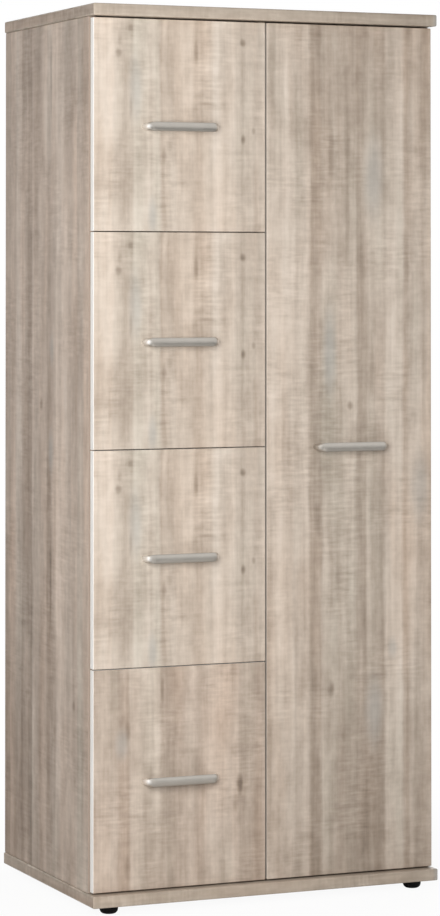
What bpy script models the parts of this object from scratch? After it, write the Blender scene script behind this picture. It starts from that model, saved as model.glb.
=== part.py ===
"""Two-column wardrobe: four deep drawers beside a full-height hinged door.

Metres, +Z up. The origin lies on the floor under the middle of the whole object. The fronts face -Y, and +X
runs to the right as seen from the front.
"""

import math

import bmesh
import bpy
import numpy as np
from mathutils import Vector

# Carcass boards
WIDTH = 0.800  # top and base boards, end to end
DEPTH = 0.560  # top and base boards, front to back
BODY_HEIGHT = 1.880  # underside of the base board to the upper face of the top board
BOARD = 0.025  # thickness of the top and base boards
PANEL = 0.016  # thickness of the side panels, partition and hat shelf
SIDE_SETBACK = 0.003  # side panels behind the ends of the boards
BOARD_ROUND = 0.003  # rounded edge of the top and base boards
PANEL_ROUND = 0.0008  # broken edge of every thinner board
THIN_ROUND = PANEL_ROUND / 2  # broken edge of drawer boxes and back panels

# Fronts, which cover the carcass edges between the two boards
FRONT_THICKNESS = 0.018
FRONT_SETBACK = 0.018  # front faces behind the front edge of the boards
FRONT_END_INSET = 0.006  # outer edges of the fronts inside the ends of the boards
FRONT_PLAY = 0.002  # between the back of the fronts and the carcass
REVEAL = 0.0035  # open joint under the top board and over the base board
COLUMN_GAP = 0.004  # between the drawer fronts and the door
DRAWER_GAP = 0.002  # between one drawer front and the next
UPPER_SHARES = (0.2457, 0.2501, 0.2501)  # of the fronts' total height, from the top; the lowest takes the rest

# Feet
FOOT_HEIGHT = 0.017
FOOT_RIM = 0.010  # where the straight rim ends and the dome begins
FOOT_DOME_STEPS = 3
FOOT_TOP_RADIUS = 0.0195
FOOT_SOLE_RADIUS = 0.011
FOOT_FROM_END = 0.047
FOOT_FROM_EDGE = 0.033

# Back of the carcass
BACK = 0.003  # thickness of the two back panels
REBATE = 0.008  # width of the step in each side panel that holds a back panel
STRIP_WIDTH = 0.024
STRIP_WALL = 0.0012
STRIP_WEB = 0.002
STRIP_FROM_REAR = 0.0005

# Drawer boxes
BOX_WALL = 0.015  # sides and back of a drawer box
BOX_HEIGHT = 0.250
BOX_LENGTH = 0.480
BOX_LIFT = 0.020  # lower edge of a box above the lower edge of its front
BOX_PLAY = 0.002  # each side of a box to the carcass
BOTTOM = 0.004  # thickness of a drawer bottom
BOTTOM_LIFT = 0.010  # drawer bottom above the lower edge of the sides
BOTTOM_GROOVE = 0.006  # depth of the groove for the bottom
BACK_INSET = 0.004  # box back in front of the rear ends of the sides

# Runners, strips on the carcass that ride in grooves along the drawer sides
RUNNER_HEIGHT = 0.016
RUNNER_WIDTH = 0.010
RUNNER_LENGTH = 0.440
RUNNER_SETBACK = 0.008  # front end of a runner behind the carcass front
RUNNER_LIFT = 0.125  # middle of the groove above the lower edge of the sides
GROOVE_DEPTH = 0.009
GROOVE_PLAY = 0.001  # groove higher than the runner

# Hanging space behind the door
HAT_SPACE = 0.300  # clear height over the hat shelf
SHELF_SETBACK = 0.020
RAIL_HEIGHT = 0.030
RAIL_THICKNESS = 0.015
RAIL_WALL = 0.0012
RAIL_DROP = 0.055  # middle of the rail under the hat shelf
SOCKET_DEPTH = 0.012
SOCKET_FLOOR = 0.003
SOCKET_WALL = 0.0025
SOCKET_LIP = 0.006  # screw flange over and under the socket
SOCKET_LIP_SIDE = 0.003  # and on each side of it
RAIL_END_PLAY = 0.0005

# Concealed hinges
HINGE_COUNT = 4
HINGE_FROM_END = 0.100  # outer hinges from the door's upper and lower edges
AXIS_FROM_EDGE = 0.007  # turning axis inside the door's outer edge
AXIS_FROM_BACK = 0.0125  # turning axis in front of the door's back face
CUP_RADIUS = 0.0175
CUP_DEPTH = 0.0115
CUP_WALL = 0.002
CUP_FROM_EDGE = 0.0225  # middle of the cup inside the door's outer edge
CUP_FLANGE = 0.0012
CUP_FLANGE_HALF_WIDTH = 0.0185
CUP_FLANGE_HALF_HEIGHT = 0.027
ARM_LENGTH = 0.062
ARM_HEIGHT = 0.014
ARM_RISE = 0.014  # how far the arm stands off the side panel
ARM_FRONT_RISE = 0.005
ARM_PLAY = 0.0005  # front end of the arm behind the carcass front
PLATE_THICKNESS = 0.0025
PLATE_HEIGHT = 0.052
PLATE_LENGTH = 0.018
PLATE_FROM_FRONT = 0.028
ARM_SLOPE = 0.004  # length of the arm's slopes down to the plate

# Bow handles
HANDLE_SPACING = 0.160  # between the middles of the two feet
HANDLE_FLAT = 0.130  # straight middle
HANDLE_PROJECTION = 0.028
HANDLE_THICKNESS = 0.005
HANDLE_HEIGHT = 0.019
HANDLE_FOOT_LENGTH = 0.014
HANDLE_FOOT_HEIGHT = 0.012
HANDLE_CHAMFER = 0.001  # inner edges
HANDLE_CROWN = 0.0018  # outer face falls back by this at its upper and lower edges
HANDLE_CROWN_STEPS = 6
HANDLE_STEPS = 6  # stations in each curved end
HANDLE_DROPS = (0.0035, 0.0035, 0.0, 0.005)  # under the middles of the drawer fronts, from the top
DOOR_HANDLE_LIFT = 0.0045  # over the middle of the door

SEAT = 0.0003  # between pieces that rest on each other
ROUND_STEPS = 24
BEVEL_ANGLE = 30  # degrees from which an edge is rounded
SHARP_ANGLE = 35  # degrees from which a lofted surface keeps an edge
CARRIER_SIZE = 0.05  # drawn size of an empty

# Planes that the sizes above give
FRONT_REACH = max(HANDLE_PROJECTION + SEAT - FRONT_SETBACK, 0.0)
BOARD_FRONT = (FRONT_REACH - DEPTH) / 2
BOARD_REAR = BOARD_FRONT + DEPTH
FRONT_FACE = BOARD_FRONT + FRONT_SETBACK
FRONT_BACK = FRONT_FACE + FRONT_THICKNESS
CARCASS_FRONT = FRONT_BACK + FRONT_PLAY
STRIP_REAR = BOARD_REAR - STRIP_FROM_REAR
BACK_REAR = STRIP_REAR - STRIP_WALL - SEAT
BACK_FRONT = BACK_REAR - BACK
STRIP_FRONT = BACK_FRONT - SEAT - STRIP_WALL
INNER_LOW = FOOT_HEIGHT + BOARD
INNER_HIGH = FOOT_HEIGHT + BODY_HEIGHT - BOARD
SIDE_OUTER = WIDTH / 2 - SIDE_SETBACK
SIDE_INNER = SIDE_OUTER - PANEL
PARTITION_FACE = PANEL / 2
FRONTS_LOW = INNER_LOW + REVEAL
FRONTS_HIGH = INNER_HIGH - REVEAL
FRONT_OUTER = WIDTH / 2 - FRONT_END_INSET
FRONT_INNER = COLUMN_GAP / 2
FRONTS_TOTAL = FRONTS_HIGH - FRONTS_LOW - len(UPPER_SHARES) * DRAWER_GAP
DRAWER_FRONTS = tuple(share * FRONTS_TOTAL for share in (*UPPER_SHARES, 1 - sum(UPPER_SHARES)))
SHELF_LOW = INNER_HIGH - HAT_SPACE - PANEL
FRONT_MIDDLE = (FRONT_INNER + FRONT_OUTER) / 2


def finish(name, colour, roughness, metallic=0.0):
    """A Principled BSDF material; the colour is given as 0 to 255 display values."""
    material = bpy.data.materials.new(name)
    material.use_nodes = True
    shader = material.node_tree.nodes["Principled BSDF"]
    linear = [((value / 255 + 0.055) / 1.055) ** 2.4 for value in colour]
    shader.inputs["Base Color"].default_value = (*linear, 1.0)
    shader.inputs["Roughness"].default_value = roughness
    shader.inputs["Metallic"].default_value = metallic
    material.diffuse_color = (*linear, 1.0)
    return material


def carrier(name, location):
    """An empty on a joint's axis, which everything that moves with it hangs under."""
    empty = bpy.data.objects.new(name, None)
    empty.empty_display_size = CARRIER_SIZE
    empty.location = location
    bpy.context.scene.collection.objects.link(empty)
    return empty


def place(name, mesh, material, centre, parent=None):
    """A linked object with this mesh, its origin at a world point, under its carrier."""
    obj = bpy.data.objects.new(name, mesh)
    if not mesh.materials:
        mesh.materials.append(material)
    bpy.context.scene.collection.objects.link(obj)
    obj.parent = parent
    obj.location = Vector(centre) - (parent.location if parent else Vector())
    return obj


def soften(obj, width, segments):
    """Round every edge that turns by more than the bevel angle."""
    bevel = obj.modifiers.new("edges", "BEVEL")
    bevel.width = width
    bevel.segments = segments
    bevel.limit_method = "ANGLE"
    bevel.angle_limit = math.radians(BEVEL_ANGLE)


def board(name, low, high, material, parent=None, edge=PANEL_ROUND, segments=1):
    """A flat board between two world corners, with softened edges."""
    low, high = Vector(low), Vector(high)
    mesh = bpy.data.meshes.new(name)
    shape = bmesh.new()
    bmesh.ops.create_cube(shape, size=1.0)
    bmesh.ops.scale(shape, vec=high - low, verts=shape.verts)
    shape.to_mesh(mesh)
    shape.free()
    obj = place(name, mesh, material, (low + high) / 2, parent)
    soften(obj, edge, segments)
    return obj


def prism(name, outline, axis, low, high):
    """A mesh with this closed outline, drawn across X, Y or Z, from one level to another along it."""
    across = {"X": (1, 2), "Y": (0, 2), "Z": (0, 1)}[axis]
    along = "XYZ".index(axis)
    mesh = bpy.data.meshes.new(name)
    shape = bmesh.new()
    corners = []
    for first, second in outline:
        point = Vector((low, low, low))
        point[across[0]] = first
        point[across[1]] = second
        corners.append(shape.verts.new(point))
    extruded = bmesh.ops.extrude_face_region(shape, geom=[shape.faces.new(corners)])
    step = Vector()
    step[along] = high - low
    moved = [item for item in extruded["geom"] if isinstance(item, bmesh.types.BMVert)]
    bmesh.ops.translate(shape, vec=step, verts=moved)
    bmesh.ops.recalc_face_normals(shape, faces=shape.faces)
    shape.to_mesh(mesh)
    shape.free()
    return mesh


def loft(name, rings, closed=False):
    """A mesh through rings of equally many points: capped at both ends, or joined end to end."""
    rings = np.asarray(rings)
    count, points = rings.shape[:2]
    index = np.arange(count * points).reshape(count, points)
    start = index if closed else index[:-1]
    end = np.roll(index, -1, axis=0) if closed else index[1:]
    corners = (start, np.roll(start, -1, axis=1), np.roll(end, -1, axis=1), end)
    faces = np.stack(corners, axis=-1).reshape(-1, 4).tolist()
    if not closed:
        faces += [index[0].tolist(), index[-1].tolist()]
    mesh = bpy.data.meshes.new(name)
    mesh.from_pydata(rings.reshape(-1, 3).tolist(), [], faces)
    shape = bmesh.new()
    shape.from_mesh(mesh)
    bmesh.ops.recalc_face_normals(shape, faces=shape.faces)
    shape.to_mesh(mesh)
    shape.free()
    mesh.shade_smooth()
    mesh.set_sharp_from_angle(angle=math.radians(SHARP_ANGLE))
    return mesh


def oval(half_first, half_second, axis, level, steps=ROUND_STEPS):
    """Points of an ellipse across an axis, at one level along it."""
    turn = np.arange(steps) * 2 * math.pi / steps
    across = {"X": (1, 2), "Y": (0, 2), "Z": (0, 1)}[axis]
    points = np.full((steps, 3), float(level))
    points[:, across[0]] = half_first * np.cos(turn)
    points[:, across[1]] = half_second * np.sin(turn)
    return points


def combined(name, mesh, other, operation):
    """The mesh that an exact Boolean makes of two meshes."""
    base = bpy.data.objects.new(name, mesh)
    tool = bpy.data.objects.new(name + "_tool", other)
    for obj in (base, tool):
        bpy.context.scene.collection.objects.link(obj)
    cut = base.modifiers.new("combine", "BOOLEAN")
    cut.operation = operation
    cut.solver = "EXACT"
    cut.object = tool
    graph = bpy.context.evaluated_depsgraph_get()
    result = bpy.data.meshes.new_from_object(base.evaluated_get(graph))
    result.name = name
    for obj in (base, tool):
        bpy.data.objects.remove(obj)
    return result


def handle_mesh():
    """A bow handle: feet at y = 0, the crowned bar out at -Y, and quarter ellipses between them."""
    bar_line = HANDLE_PROJECTION - HANDLE_THICKNESS / 2
    run = (HANDLE_SPACING - HANDLE_FLAT) / 2
    rings = []
    for step in range(HANDLE_STEPS + 1):
        turn = math.pi / 2 * step / HANDLE_STEPS
        blend = math.sin(turn)
        half_thickness = (HANDLE_FOOT_LENGTH * (1 - blend) + HANDLE_THICKNESS * blend) / 2
        half_height = (HANDLE_FOOT_HEIGHT * (1 - blend) + HANDLE_HEIGHT * blend) / 2
        middle = np.array([run * (1 - math.cos(turn)) - HANDLE_SPACING / 2, -bar_line * math.sin(turn), 0])
        inward = np.array([math.cos(turn), math.sin(turn), 0])
        corner = HANDLE_CHAMFER
        section = [
            (half_thickness - corner, half_height),
            (half_thickness, half_height - corner),
            (half_thickness, corner - half_height),
            (half_thickness - corner, -half_height),
        ]
        for share in np.linspace(-1, 1, HANDLE_CROWN_STEPS + 1):
            section.append((HANDLE_CROWN * share**2 - half_thickness, share * half_height))
        rings.append([middle + inward * across + np.array([0, 0, up]) for across, up in section])
    left = np.array(rings)
    right = left[::-1] * np.array([-1, 1, 1])
    return loft("handle", np.concatenate([left, right]))


def foot_mesh():
    """A round glide: straight rim under the board, then a dome down to a flat sole."""
    levels = [(FOOT_TOP_RADIUS, FOOT_HEIGHT - SEAT), (FOOT_TOP_RADIUS, FOOT_RIM)]
    for step in range(1, FOOT_DOME_STEPS + 1):
        turn = math.pi / 2 * step / FOOT_DOME_STEPS
        radius = FOOT_SOLE_RADIUS + (FOOT_TOP_RADIUS - FOOT_SOLE_RADIUS) * math.cos(turn)
        levels.append((radius, FOOT_RIM * (1 - math.sin(turn))))
    return loft("foot", [oval(radius, radius, "Z", level) for radius, level in levels])


def cup_mesh():
    """A hinge cup with its flange; y = 0 is the door's back face, and the door lies at -Y."""
    seat_face = SEAT
    outer_face = SEAT + CUP_FLANGE
    bore = CUP_RADIUS - CUP_WALL
    rings = [
        oval(bore, bore, "Y", CUP_WALL - CUP_DEPTH),
        oval(bore, bore, "Y", outer_face),
        oval(CUP_FLANGE_HALF_WIDTH, CUP_FLANGE_HALF_HEIGHT, "Y", outer_face),
        oval(CUP_FLANGE_HALF_WIDTH, CUP_FLANGE_HALF_HEIGHT, "Y", seat_face),
        oval(CUP_RADIUS, CUP_RADIUS, "Y", seat_face),
        oval(CUP_RADIUS, CUP_RADIUS, "Y", -CUP_DEPTH),
    ]
    return loft("hinge_cup", rings)


def arm_mesh():
    """A hinge arm on its cross plate; x = 0 is the side panel's face and y = 0 the carcass front."""
    outline = [
        (-ARM_FRONT_RISE, ARM_PLAY),
        (-ARM_RISE, ARM_PLAY),
        (-ARM_RISE, ARM_LENGTH - ARM_SLOPE),
        (-PLATE_THICKNESS, ARM_LENGTH),
        (-PLATE_THICKNESS / 2, ARM_LENGTH),
        (-PLATE_THICKNESS / 2, PLATE_FROM_FRONT),
        (-ARM_FRONT_RISE, PLATE_FROM_FRONT - ARM_SLOPE),
    ]
    arm = prism("hinge_arm_body", outline, "Z", -ARM_HEIGHT / 2, ARM_HEIGHT / 2)
    plate_outline = [
        (-SEAT, PLATE_FROM_FRONT),
        (-PLATE_THICKNESS, PLATE_FROM_FRONT),
        (-PLATE_THICKNESS, PLATE_FROM_FRONT + PLATE_LENGTH),
        (-SEAT, PLATE_FROM_FRONT + PLATE_LENGTH),
    ]
    plate = prism("hinge_plate", plate_outline, "Z", -PLATE_HEIGHT / 2, PLATE_HEIGHT / 2)
    return combined("hinge_arm", arm, plate, "UNION")


def socket_mesh():
    """A rail socket on the panel at x = 0, open towards +X: screw flange, oval wall and floor."""
    inner = (RAIL_THICKNESS / 2 + SEAT, RAIL_HEIGHT / 2 + SEAT)
    outer = (inner[0] + SOCKET_WALL, inner[1] + SOCKET_WALL)
    flange = (outer[0] + SOCKET_LIP_SIDE, outer[1] + SOCKET_LIP)
    rings = [
        oval(*flange, "X", SEAT),
        oval(*flange, "X", SOCKET_FLOOR),
        oval(*outer, "X", SOCKET_FLOOR),
        oval(*outer, "X", SOCKET_DEPTH),
        oval(*inner, "X", SOCKET_DEPTH),
        oval(*inner, "X", SOCKET_FLOOR),
    ]
    return loft("rail_socket", rings)


def rail_mesh(low, high):
    """An oval tube along X with open ends."""
    outer = (RAIL_THICKNESS / 2, RAIL_HEIGHT / 2)
    inner = (outer[0] - RAIL_WALL, outer[1] - RAIL_WALL)
    rings = [
        oval(*outer, "X", low),
        oval(*outer, "X", high),
        oval(*inner, "X", high),
        oval(*inner, "X", low),
    ]
    return loft("clothes_rail", rings, closed=True)


def mirrored(mesh, name):
    """A copy of a mesh turned round in X, its faces still pointing out."""
    copy = mesh.copy()
    copy.name = name
    shape = bmesh.new()
    shape.from_mesh(copy)
    bmesh.ops.scale(shape, vec=(-1, 1, 1), verts=shape.verts)
    bmesh.ops.reverse_faces(shape, faces=shape.faces)
    shape.to_mesh(copy)
    shape.free()
    return copy


def build_carcass(decor, inner_decor, hardboard, plastic):
    """Boards that stay still: top, base, sides, partition and back."""
    for name, low in (("base_panel", FOOT_HEIGHT), ("top_panel", INNER_HIGH)):
        corner = (-WIDTH / 2, BOARD_FRONT, low)
        board(name, corner, (WIDTH / 2, BOARD_REAR, low + BOARD), decor, edge=BOARD_ROUND, segments=2)
    low, high = INNER_LOW + SEAT, INNER_HIGH - SEAT
    step_face = BACK_FRONT - SEAT
    for side, name in ((-1, "side_panel_left"), (1, "side_panel_right")):
        outline = [
            (side * SIDE_OUTER, CARCASS_FRONT),
            (side * SIDE_INNER, CARCASS_FRONT),
            (side * SIDE_INNER, step_face),
            (side * (SIDE_INNER + REBATE), step_face),
            (side * (SIDE_INNER + REBATE), BOARD_REAR),
            (side * SIDE_OUTER, BOARD_REAR),
        ]
        panel = place(name, prism(name, outline, "Z", low, high), decor, (0, 0, 0))
        soften(panel, PANEL_ROUND, 1)
        rebate_edge = side * (SIDE_INNER + REBATE - SEAT)
        strip_edge = side * (STRIP_WEB / 2 + SEAT)
        ends = sorted((rebate_edge, strip_edge))
        board(
            name.replace("side", "back"),
            (ends[0], BACK_FRONT, low),
            (ends[1], BACK_REAR, high),
            hardboard,
            edge=THIN_ROUND,
        )
    board(
        "centre_partition",
        (-PARTITION_FACE, CARCASS_FRONT, low),
        (PARTITION_FACE, STRIP_FRONT - SEAT, high),
        inner_decor,
    )
    half, web = STRIP_WIDTH / 2, STRIP_WEB / 2
    front_wall, rear_wall = STRIP_FRONT + STRIP_WALL, STRIP_REAR - STRIP_WALL
    quarter = [
        (half, STRIP_FRONT),
        (half, front_wall),
        (web, front_wall),
        (web, rear_wall),
        (half, rear_wall),
        (half, STRIP_REAR),
    ]
    section = quarter + [(-across, along) for across, along in reversed(quarter)]
    place("back_joint_strip", prism("back_joint_strip", section, "Z", low, high), plastic, (0, 0, 0))


def build_feet(plastic):
    """Four glides under the base board."""
    mesh = foot_mesh()
    across = WIDTH / 2 - FOOT_FROM_END
    rows = (("front", BOARD_FRONT + FOOT_FROM_EDGE), ("rear", BOARD_REAR - FOOT_FROM_EDGE))
    for row, along in rows:
        for side, label in ((-1, "left"), (1, "right")):
            place(f"foot_{row}_{label}", mesh, plastic, (side * across, along, 0))


def build_hanging_space(inner_decor, steel, plastic):
    """Hat shelf and clothes rail between the partition and the right side panel."""
    left, right = PARTITION_FACE + SEAT, SIDE_INNER - SEAT
    board(
        "hat_shelf",
        (left, CARCASS_FRONT + SHELF_SETBACK, SHELF_LOW),
        (right, STRIP_FRONT - SEAT, SHELF_LOW + PANEL),
        inner_decor,
    )
    along = (CARCASS_FRONT + BACK_FRONT) / 2
    up = SHELF_LOW - RAIL_DROP
    socket = socket_mesh()
    place("rail_socket_left", socket, plastic, (PARTITION_FACE, along, up))
    place("rail_socket_right", mirrored(socket, "rail_socket_right"), plastic, (SIDE_INNER, along, up))
    reach = (SIDE_INNER - PARTITION_FACE) / 2 - SOCKET_FLOOR - RAIL_END_PLAY
    middle = (SIDE_INNER + PARTITION_FACE) / 2
    place("clothes_rail", rail_mesh(-reach, reach), steel, (middle, along, up))


def hinge_levels():
    """Heights of the hinges, evenly spread along the door."""
    low, high = FRONTS_LOW + HINGE_FROM_END, FRONTS_HIGH - HINGE_FROM_END
    return [low + (high - low) * step / (HINGE_COUNT - 1) for step in range(HINGE_COUNT)]


def build_door(decor, steel, bow):
    """The door with its handle and hinge cups, which turn about the hinge axis, and the fixed hinge arms."""
    middle_height = (FRONTS_LOW + FRONTS_HIGH) / 2
    axis_x, axis_y = FRONT_OUTER - AXIS_FROM_EDGE, FRONT_BACK - AXIS_FROM_BACK
    door = carrier("door", (axis_x, axis_y, middle_height))
    panel = board(
        "door_panel",
        (FRONT_INNER, FRONT_FACE, FRONTS_LOW),
        (FRONT_OUTER, FRONT_BACK, FRONTS_HIGH),
        decor,
        door,
    )
    cup_x = FRONT_OUTER - CUP_FROM_EDGE
    cup, arm = cup_mesh(), arm_mesh()
    bores = bmesh.new()
    bore_radius = CUP_RADIUS + SEAT
    for number, height in enumerate(hinge_levels(), 1):
        place(f"hinge_cup_{number}", cup, steel, (cup_x, FRONT_BACK, height), door)
        place(f"hinge_arm_{number}", arm, steel, (SIDE_INNER, CARCASS_FRONT, height))
        inside = oval(bore_radius, bore_radius, "Y", -CUP_DEPTH - SEAT)
        outside = oval(bore_radius, bore_radius, "Y", CUP_DEPTH)
        bores.from_mesh(loft("bore", [ring + np.array([0, 0, height]) for ring in (inside, outside)]))
    cutter_mesh = bpy.data.meshes.new("door_bores")
    bores.to_mesh(cutter_mesh)
    bores.free()
    cutter = place("door_bores", cutter_mesh, steel, (cup_x, FRONT_BACK, 0), door)
    cutter.hide_render = True
    cutter.display_type = "WIRE"
    cut = panel.modifiers.new("hinge_bores", "BOOLEAN")
    cut.operation = "DIFFERENCE"
    cut.solver = "EXACT"
    cut.object = cutter
    place("door_handle", bow, steel, (FRONT_MIDDLE, FRONT_FACE - SEAT, middle_height + DOOR_HANDLE_LIFT), door)


def side_outline(outward, low):
    """Section of a drawer side: runner groove on its outer face, bottom groove on its inner face."""
    outer, inner = 0.0, BOX_WALL
    high = low + BOX_HEIGHT
    runner_low = low + RUNNER_LIFT - (RUNNER_HEIGHT + GROOVE_PLAY) / 2
    runner_high = runner_low + RUNNER_HEIGHT + GROOVE_PLAY
    bottom_low = low + BOTTOM_LIFT - SEAT
    bottom_high = low + BOTTOM_LIFT + BOTTOM + SEAT
    points = [
        (outer, low),
        (inner, low),
        (inner, bottom_low),
        (inner - BOTTOM_GROOVE, bottom_low),
        (inner - BOTTOM_GROOVE, bottom_high),
        (inner, bottom_high),
        (inner, high),
        (outer, high),
        (outer, runner_high),
        (outer + GROOVE_DEPTH, runner_high),
        (outer + GROOVE_DEPTH, runner_low),
        (outer, runner_low),
    ]
    return [(-outward * across, up) for across, up in points]


def build_drawer(number, decor, inner_decor, hardboard, plastic, steel, bow):
    """One drawer, which slides along -Y, and its two runners on the carcass; number 1 is the top one."""
    front_high = FRONTS_HIGH - sum(DRAWER_FRONTS[: number - 1]) - (number - 1) * DRAWER_GAP
    front_low = front_high - DRAWER_FRONTS[number - 1]
    middle_height = (front_low + front_high) / 2
    name = f"drawer_{number}"
    drawer = carrier(name, (-FRONT_MIDDLE, FRONT_FACE, middle_height))
    board(
        f"{name}_front",
        (-FRONT_OUTER, FRONT_FACE, front_low),
        (-FRONT_INNER, FRONT_BACK, front_high),
        decor,
        drawer,
    )
    handle_height = middle_height - HANDLE_DROPS[number - 1]
    place(f"{name}_handle", bow, steel, (-FRONT_MIDDLE, FRONT_FACE - SEAT, handle_height), drawer)

    box_low = front_low + BOX_LIFT
    box_front = FRONT_BACK + SEAT
    box_rear = box_front + BOX_LENGTH
    bay = {"left": (-SIDE_INNER, -1), "right": (-PARTITION_FACE, 1)}
    inner_face = {}
    for label, (bay_face, outward) in bay.items():
        outer_face = bay_face - outward * BOX_PLAY
        inner_face[label] = outer_face - outward * BOX_WALL
        section = side_outline(outward, box_low - middle_height)
        mesh = prism(f"{name}_side_{label}", section, "Y", 0, BOX_LENGTH)
        side = place(f"{name}_side_{label}", mesh, inner_decor, (outer_face, box_front, middle_height), drawer)
        soften(side, THIN_ROUND, 1)
        runner_low = box_low + RUNNER_LIFT + GROOVE_PLAY / 2 - SEAT - RUNNER_HEIGHT / 2
        ends = sorted((bay_face - outward * SEAT, bay_face - outward * RUNNER_WIDTH))
        runner_front = CARCASS_FRONT + RUNNER_SETBACK
        board(
            f"runner_{number}_{label}",
            (ends[0], runner_front, runner_low),
            (ends[1], runner_front + RUNNER_LENGTH, runner_low + RUNNER_HEIGHT),
            plastic,
        )
    floor = box_low + BOTTOM_LIFT
    back_rear = box_rear - BACK_INSET
    board(
        f"{name}_back",
        (inner_face["left"] + SEAT, back_rear - BOX_WALL, floor + BOTTOM + SEAT),
        (inner_face["right"] - SEAT, back_rear, box_low + BOX_HEIGHT),
        inner_decor,
        drawer,
        edge=THIN_ROUND,
    )
    groove = BOTTOM_GROOVE - SEAT
    board(
        f"{name}_bottom",
        (inner_face["left"] - groove, box_front, floor),
        (inner_face["right"] + groove, back_rear, floor + BOTTOM),
        hardboard,
        drawer,
        edge=THIN_ROUND,
    )


def main():
    """Clear the scene and build the wardrobe."""
    for obj in list(bpy.data.objects):
        bpy.data.objects.remove(obj)
    decor = finish("grey_oak_decor", (203, 187, 168), 0.55)
    inner_decor = finish("inner_oak_decor", (196, 180, 160), 0.6)
    hardboard = finish("back_board", (186, 170, 150), 0.75)
    black = finish("black_plastic", (18, 18, 18), 0.5)
    pale = finish("pale_plastic", (212, 208, 200), 0.45)
    steel = finish("satin_metal", (176, 176, 174), 0.32, 1.0)
    build_carcass(decor, inner_decor, hardboard, pale)
    build_feet(black)
    build_hanging_space(inner_decor, steel, pale)
    bow = handle_mesh()
    build_door(decor, steel, bow)
    for number in range(1, len(DRAWER_FRONTS) + 1):
        build_drawer(number, decor, inner_decor, hardboard, pale, steel, bow)


if __name__ == "__main__":
    main()
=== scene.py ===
"""Looks of a free-standing wardrobe: four deep drawers beside one full-height door, in grey-beige oak decor.

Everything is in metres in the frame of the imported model: +Z up, the fronts face -Y, +X to the right.
"""

import logging
import math
from collections.abc import Sequence
from dataclasses import dataclass, field
from enum import Enum, IntEnum

import bpy
import numpy as np
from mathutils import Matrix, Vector
from mathutils.geometry import tessellate_polygon


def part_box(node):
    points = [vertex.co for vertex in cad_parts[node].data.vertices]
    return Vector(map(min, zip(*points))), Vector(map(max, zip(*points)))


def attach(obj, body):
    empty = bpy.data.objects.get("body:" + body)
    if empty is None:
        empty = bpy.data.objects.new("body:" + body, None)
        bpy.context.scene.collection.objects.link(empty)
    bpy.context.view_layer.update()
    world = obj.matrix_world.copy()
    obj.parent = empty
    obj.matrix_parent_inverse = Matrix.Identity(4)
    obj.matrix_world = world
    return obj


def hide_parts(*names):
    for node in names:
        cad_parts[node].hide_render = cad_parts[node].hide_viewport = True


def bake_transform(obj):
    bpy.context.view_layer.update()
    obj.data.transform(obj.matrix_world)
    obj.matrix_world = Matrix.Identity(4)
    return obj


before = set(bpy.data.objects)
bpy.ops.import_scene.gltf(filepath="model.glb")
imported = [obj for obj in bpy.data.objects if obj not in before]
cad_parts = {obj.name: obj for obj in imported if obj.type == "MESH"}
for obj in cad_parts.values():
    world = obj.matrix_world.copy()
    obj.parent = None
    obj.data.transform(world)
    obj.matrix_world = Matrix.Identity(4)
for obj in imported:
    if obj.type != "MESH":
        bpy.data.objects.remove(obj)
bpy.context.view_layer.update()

log = logging.getLogger("wardrobe")

Point = tuple[float, float, float]
Colour = tuple[int, int, int]
Linear = tuple[float, float, float, float]

DRAWER_NUMBERS = (1, 2, 3, 4)


def linear(colour: Colour) -> Linear:
    """Turn a colour in display values into linear light.

    A share of full light over 0.04045 is raised by 0.055, divided by 1.055 and taken to the power 2.4; a smaller
    one is divided by 12.92.

    Args:
        colour: Red, green and blue from 0 to 255.

    Returns:
        The linear colour with full alpha.
    """
    shares = [value / 255 for value in colour]
    return (*[((share + 0.055) / 1.055) ** 2.4 if share > 0.04045 else share / 12.92 for share in shares], 1.0)


def toned(colour: Colour, share: float) -> Colour:
    """A colour in display values times a share, rounded and held at 255."""
    return tuple(min(255, round(value * share)) for value in colour)


class Wire:
    """A value on its way through a node tree; an operator on it adds a Math node."""

    def __init__(self, tree: "Nodes", socket: bpy.types.NodeSocket) -> None:
        """Hold a socket and the tree that it belongs to."""
        self.tree = tree
        self.socket = socket

    def beside(self, output: str) -> "Wire":
        """Another output of the same node, by its name."""
        return Wire(self.tree, self.socket.node.outputs[output])

    def math(self, operation: str, *others: "Wire | float", first: "Wire | float | None" = None) -> "Wire":
        """Add one Math node.

        Args:
            operation: Blender's name of the operation.
            others: The operands after this one.
            first: An operand that stands before this one, if any.

        Returns:
            The node's result.
        """
        operands = [self, *others] if first is None else [first, self, *others]
        return self.tree.node("ShaderNodeMath", {"operation": operation}, dict(enumerate(operands)))

    def __add__(self, other: "Wire | float") -> "Wire":
        """Sum."""
        return self.math("ADD", other)

    __radd__ = __add__

    def __sub__(self, other: "Wire | float") -> "Wire":
        """Difference."""
        return self.math("SUBTRACT", other)

    def __rsub__(self, other: float) -> "Wire":
        """Difference, the other way round."""
        return self.math("SUBTRACT", first=other)

    def __mul__(self, other: "Wire | float") -> "Wire":
        """Product."""
        return self.math("MULTIPLY", other)

    __rmul__ = __mul__

    def __truediv__(self, other: "Wire | float") -> "Wire":
        """Quotient."""
        return self.math("DIVIDE", other)

    def __rtruediv__(self, other: float) -> "Wire":
        """Quotient, the other way round."""
        return self.math("DIVIDE", first=other)

    def step(self, low: float, high: float) -> "Wire":
        """A smooth rise from 0 at low to 1 at high.

        Args:
            low: Where the rise starts.
            high: Where it ends; a value under low makes it a fall.

        Returns:
            The eased value.
        """
        return self.tree.node(
            "ShaderNodeMapRange", {"interpolation_type": "SMOOTHSTEP"}, {0: self, 1: low, 2: high, 3: 0.0, 4: 1.0}
        )


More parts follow.
